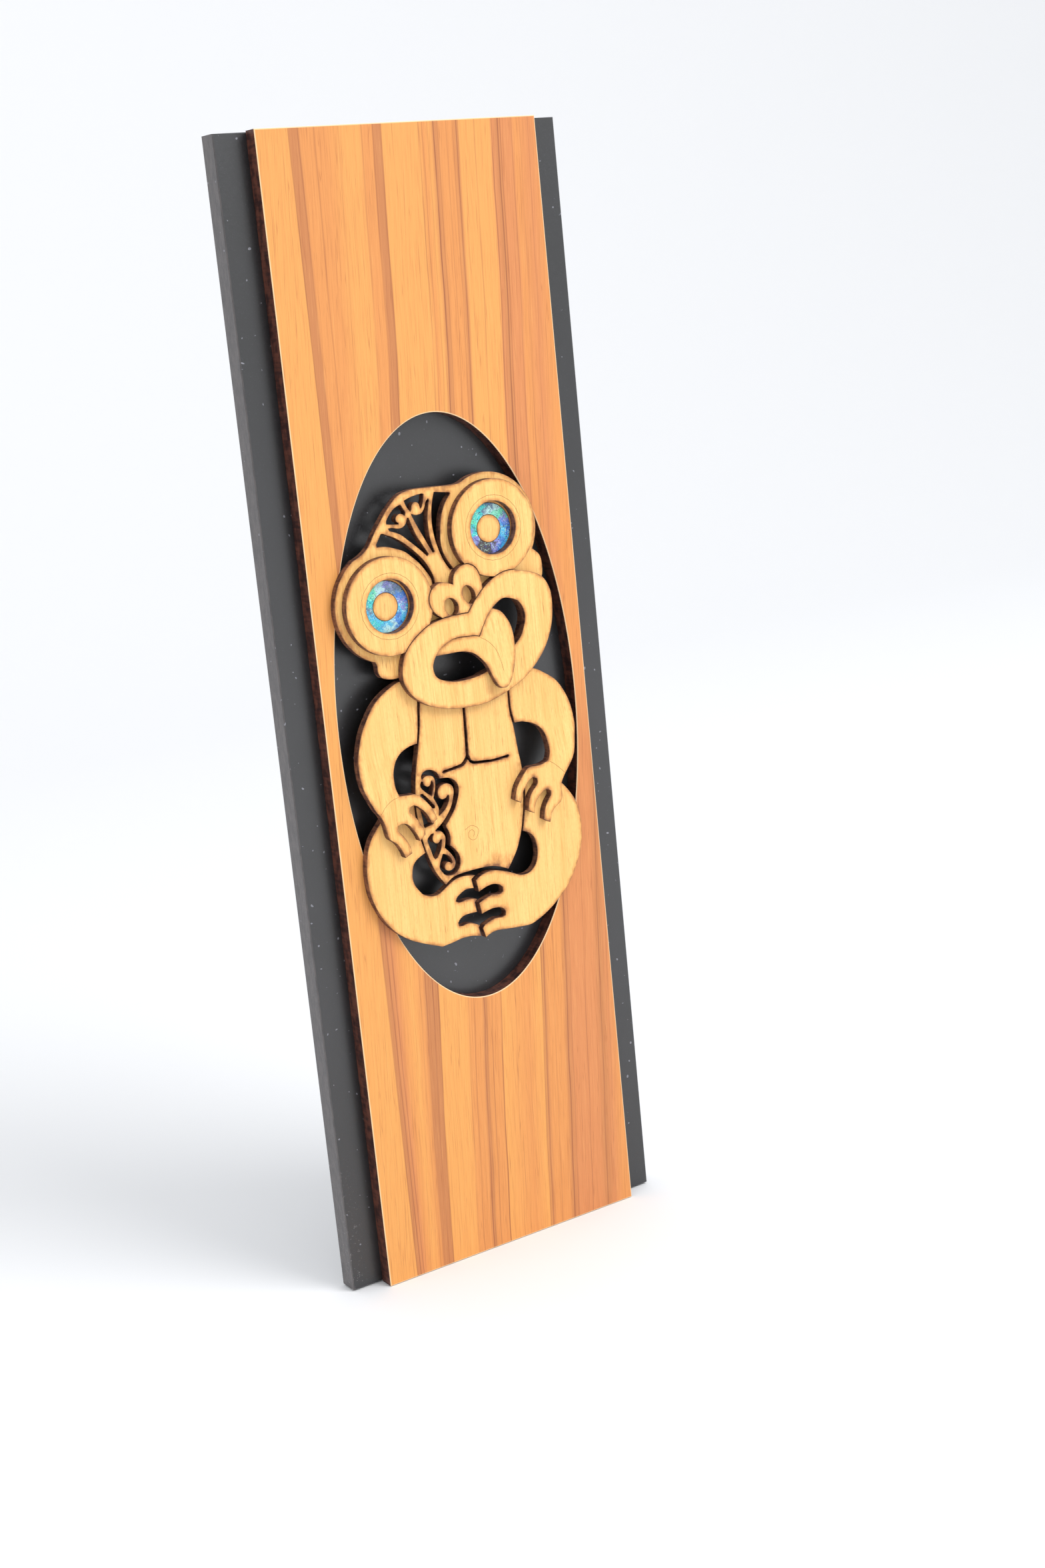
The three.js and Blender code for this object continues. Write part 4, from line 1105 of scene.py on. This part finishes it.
def paua_shell(side):
    """Polished shell: colours that run into each other in swirls, crossed by thin dark growth lines."""
    material, tree = new_material(side + "_paua_shell")
    around = put(tree, "ShaderNodeSeparateXYZ", {0: attribute(tree, "around", "Vector")})
    local = attribute(tree, "shell", "Vector")
    seed = PAUA_SEED[side]
    moved = put(tree, "ShaderNodeVectorMath", {0: local, 1: (seed, seed, seed)}, operation="ADD").outputs[0]
    warp = noise(tree, scaled(tree, moved, 0.35, 0.35, 0.35), detail=3.0, distortion=0.8)
    radius = around.outputs[0]
    turn = calc(tree, "DIVIDE", around.outputs[1], 2 * math.pi)
    turn = calc(tree, "ADD", turn, calc(tree, "MULTIPLY", calc(tree, "SUBTRACT", warp, 0.5), 0.3))
    turn = calc(tree, "ADD", turn, calc(tree, "MULTIPLY", calc(tree, "SUBTRACT", radius, 6.9), 0.014))
    turn = calc(tree, "FRACT", turn)
    stops = [(place, PAUA_COLOURS[colour]) for place, colour in PAUA_ROUND[side]]
    stops.append((1.0, stops[0][1]))
    base = ramp(tree, turn, stops, "EASE")
    glint = noise(tree, scaled(tree, moved, 0.7, 0.7, 0.7), detail=3.0, roughness=0.55, distortion=1.8)
    # painted highlight: pale patches stand in for light caught by the polished shell; the darker blue patches after
    # them are the shell's own colour
    base = mixed(tree, spread(tree, glint, 0.54, 0.68, 0.0, 0.7), base, srgb(196, 240, 232))
    base = mixed(tree, spread(tree, glint, 0.44, 0.3, 0.0, 0.75), base, srgb(44, 76, 150))
    flow = noise(tree, scaled(tree, moved, 0.2, 0.2, 0.2), detail=1.5, distortion=2.6)
    folds = calc(tree, "PINGPONG", calc(tree, "MULTIPLY", flow, 9.0), 0.5)
    vein = spread(tree, folds, 0.075, 0.01, 0.0, 0.9)
    base = mixed(tree, vein, base, srgb(24, 28, 50))
    dots = noise(tree, scaled(tree, moved, 1.5, 1.5, 1.5), detail=1.0)
    dots = calc(tree, "MULTIPLY", spread(tree, dots, 0.62, 0.68), PAUA_DOTS[side])
    base = mixed(tree, dots, base, srgb(30, 34, 66))
    surface(
        tree,
        glint,
        0.0001,
        0.2,
        {
            "Base Color": base,
            "Roughness": 0.22,
            "Specular IOR Level": 0.55,
            "Coat Weight": 0.6,
            "Coat Roughness": 0.08,
        },
    )
    return material


# Pieces

WOOD = pale_wood()
VENEER = rimu_veneer()
BOARD = black_board()


def dress(piece, material):
    piece.data.materials.append(material)


board = cut_plate("backing_board", "black_backing_board", arris=0.35, outline_step=12.0, face_step=12.0)
dress(board, BOARD)
veneer = cut_plate(
    "veneer_panel",
    "veneered_panel",
    arris=0.18,
    outline_step=1.5,
    face_step=12.0,
    rim_burn=-1.0,
)
dress(veneer, VENEER)

for node in ("head_plate", "torso", "left_leg", "right_leg", "left_eye_disc", "right_eye_disc", "nose", "lips"):
    dress(cut_plate(node, "cut_" + node), WOOD)
for node in ("left_arm", "right_arm"):
    dress(cut_plate(node, "bent_" + node, lift=arm_lift), WOOD)
dress(cut_plate("tongue", "leaning_tongue", tilted=True), WOOD)

for side, eye in EYES.items():
    ring = paua_ring(side + "_paua_ring", side + "_shell_ring", eye["ring"])
    dress(ring, paua_shell(side))


# Studio

CAMERA = {
    "place": (-0.37696, -0.65166, 0.14375),
    "azimuth": 32.065,
    "elevation": -13.0,
    "roll": -5.60,
    "lens": 49.35,
}


def add_camera():
    """The photograph's viewpoint: heading from +Y towards +X, tilt, and turn about the line of sight."""
    data = bpy.data.cameras.new("camera")
    data.sensor_fit = "VERTICAL"
    data.sensor_height = 36.0
    data.lens = CAMERA["lens"]
    data.clip_start = 0.01
    camera = bpy.data.objects.new("camera", data)
    heading = Euler((math.radians(90 + CAMERA["elevation"]), 0, -math.radians(CAMERA["azimuth"])))
    roll = Matrix.Rotation(math.radians(CAMERA["roll"]), 4, "Z")
    camera.matrix_world = Matrix.Translation(CAMERA["place"]) @ heading.to_matrix().to_4x4() @ roll
    bpy.context.scene.collection.objects.link(camera)
    bpy.context.scene.camera = camera


def add_backdrop(floor=-0.2002, reach=4.0, bend=1.2, back=2.2):
    """A pale sweep: flat floor, a quarter-round of radius bend, and an upright wall behind."""
    angle = np.linspace(0, np.pi / 2, 17)
    y = np.concatenate([[-reach], back - bend + bend * np.sin(angle), [back]])
    z = np.concatenate([[floor], floor + bend * (1 - np.cos(angle)), [reach]])
    x = np.array([-reach, reach])
    corners = np.stack(np.broadcast_arrays(x[None, :], y[:, None], z[:, None]), -1).reshape(-1, 3)
    row = np.arange(len(y) - 1) * 2
    faces = np.stack([row, row + 1, row + 3, row + 2], 1)
    mesh = bpy.data.meshes.new("backdrop")
    mesh.from_pydata(corners.tolist(), [], faces.tolist())
    mesh.shade_smooth()
    backdrop = bpy.data.objects.new("backdrop", mesh)
    bpy.context.scene.collection.objects.link(backdrop)
    material = bpy.data.materials.new("white_paper")
    material.use_nodes = True
    shader = material.node_tree.nodes["Principled BSDF"]
    shader.inputs["Base Color"].default_value = (0.9, 0.9, 0.91, 1)
    shader.inputs["Roughness"].default_value = 0.9
    mesh.materials.append(material)


def add_light(name, place, aim, size, energy, colour=(1, 1, 1)):
    data = bpy.data.lights.new(name, "AREA")
    data.shape = "DISK"
    data.size = size
    data.energy = energy
    data.color = colour
    light = bpy.data.objects.new(name, data)
    light.location = place
    light.rotation_euler = (Vector(aim) - Vector(place)).to_track_quat("-Z", "Y").to_euler()
    bpy.context.scene.collection.objects.link(light)


def add_world(strength):
    world = bpy.data.worlds.new("white_room")
    world.use_nodes = True
    background = world.node_tree.nodes["Background"]
    background.inputs[0].default_value = (0.96, 0.98, 1.0, 1)
    background.inputs[1].default_value = strength
    bpy.context.scene.world = world


add_camera()
add_backdrop()
add_light("key", (0.7, -1.3, 1.3), (0, 0, 0), 1.2, 22.0)
add_world(0.95)
bpy.context.scene.view_settings.view_transform = "Standard"
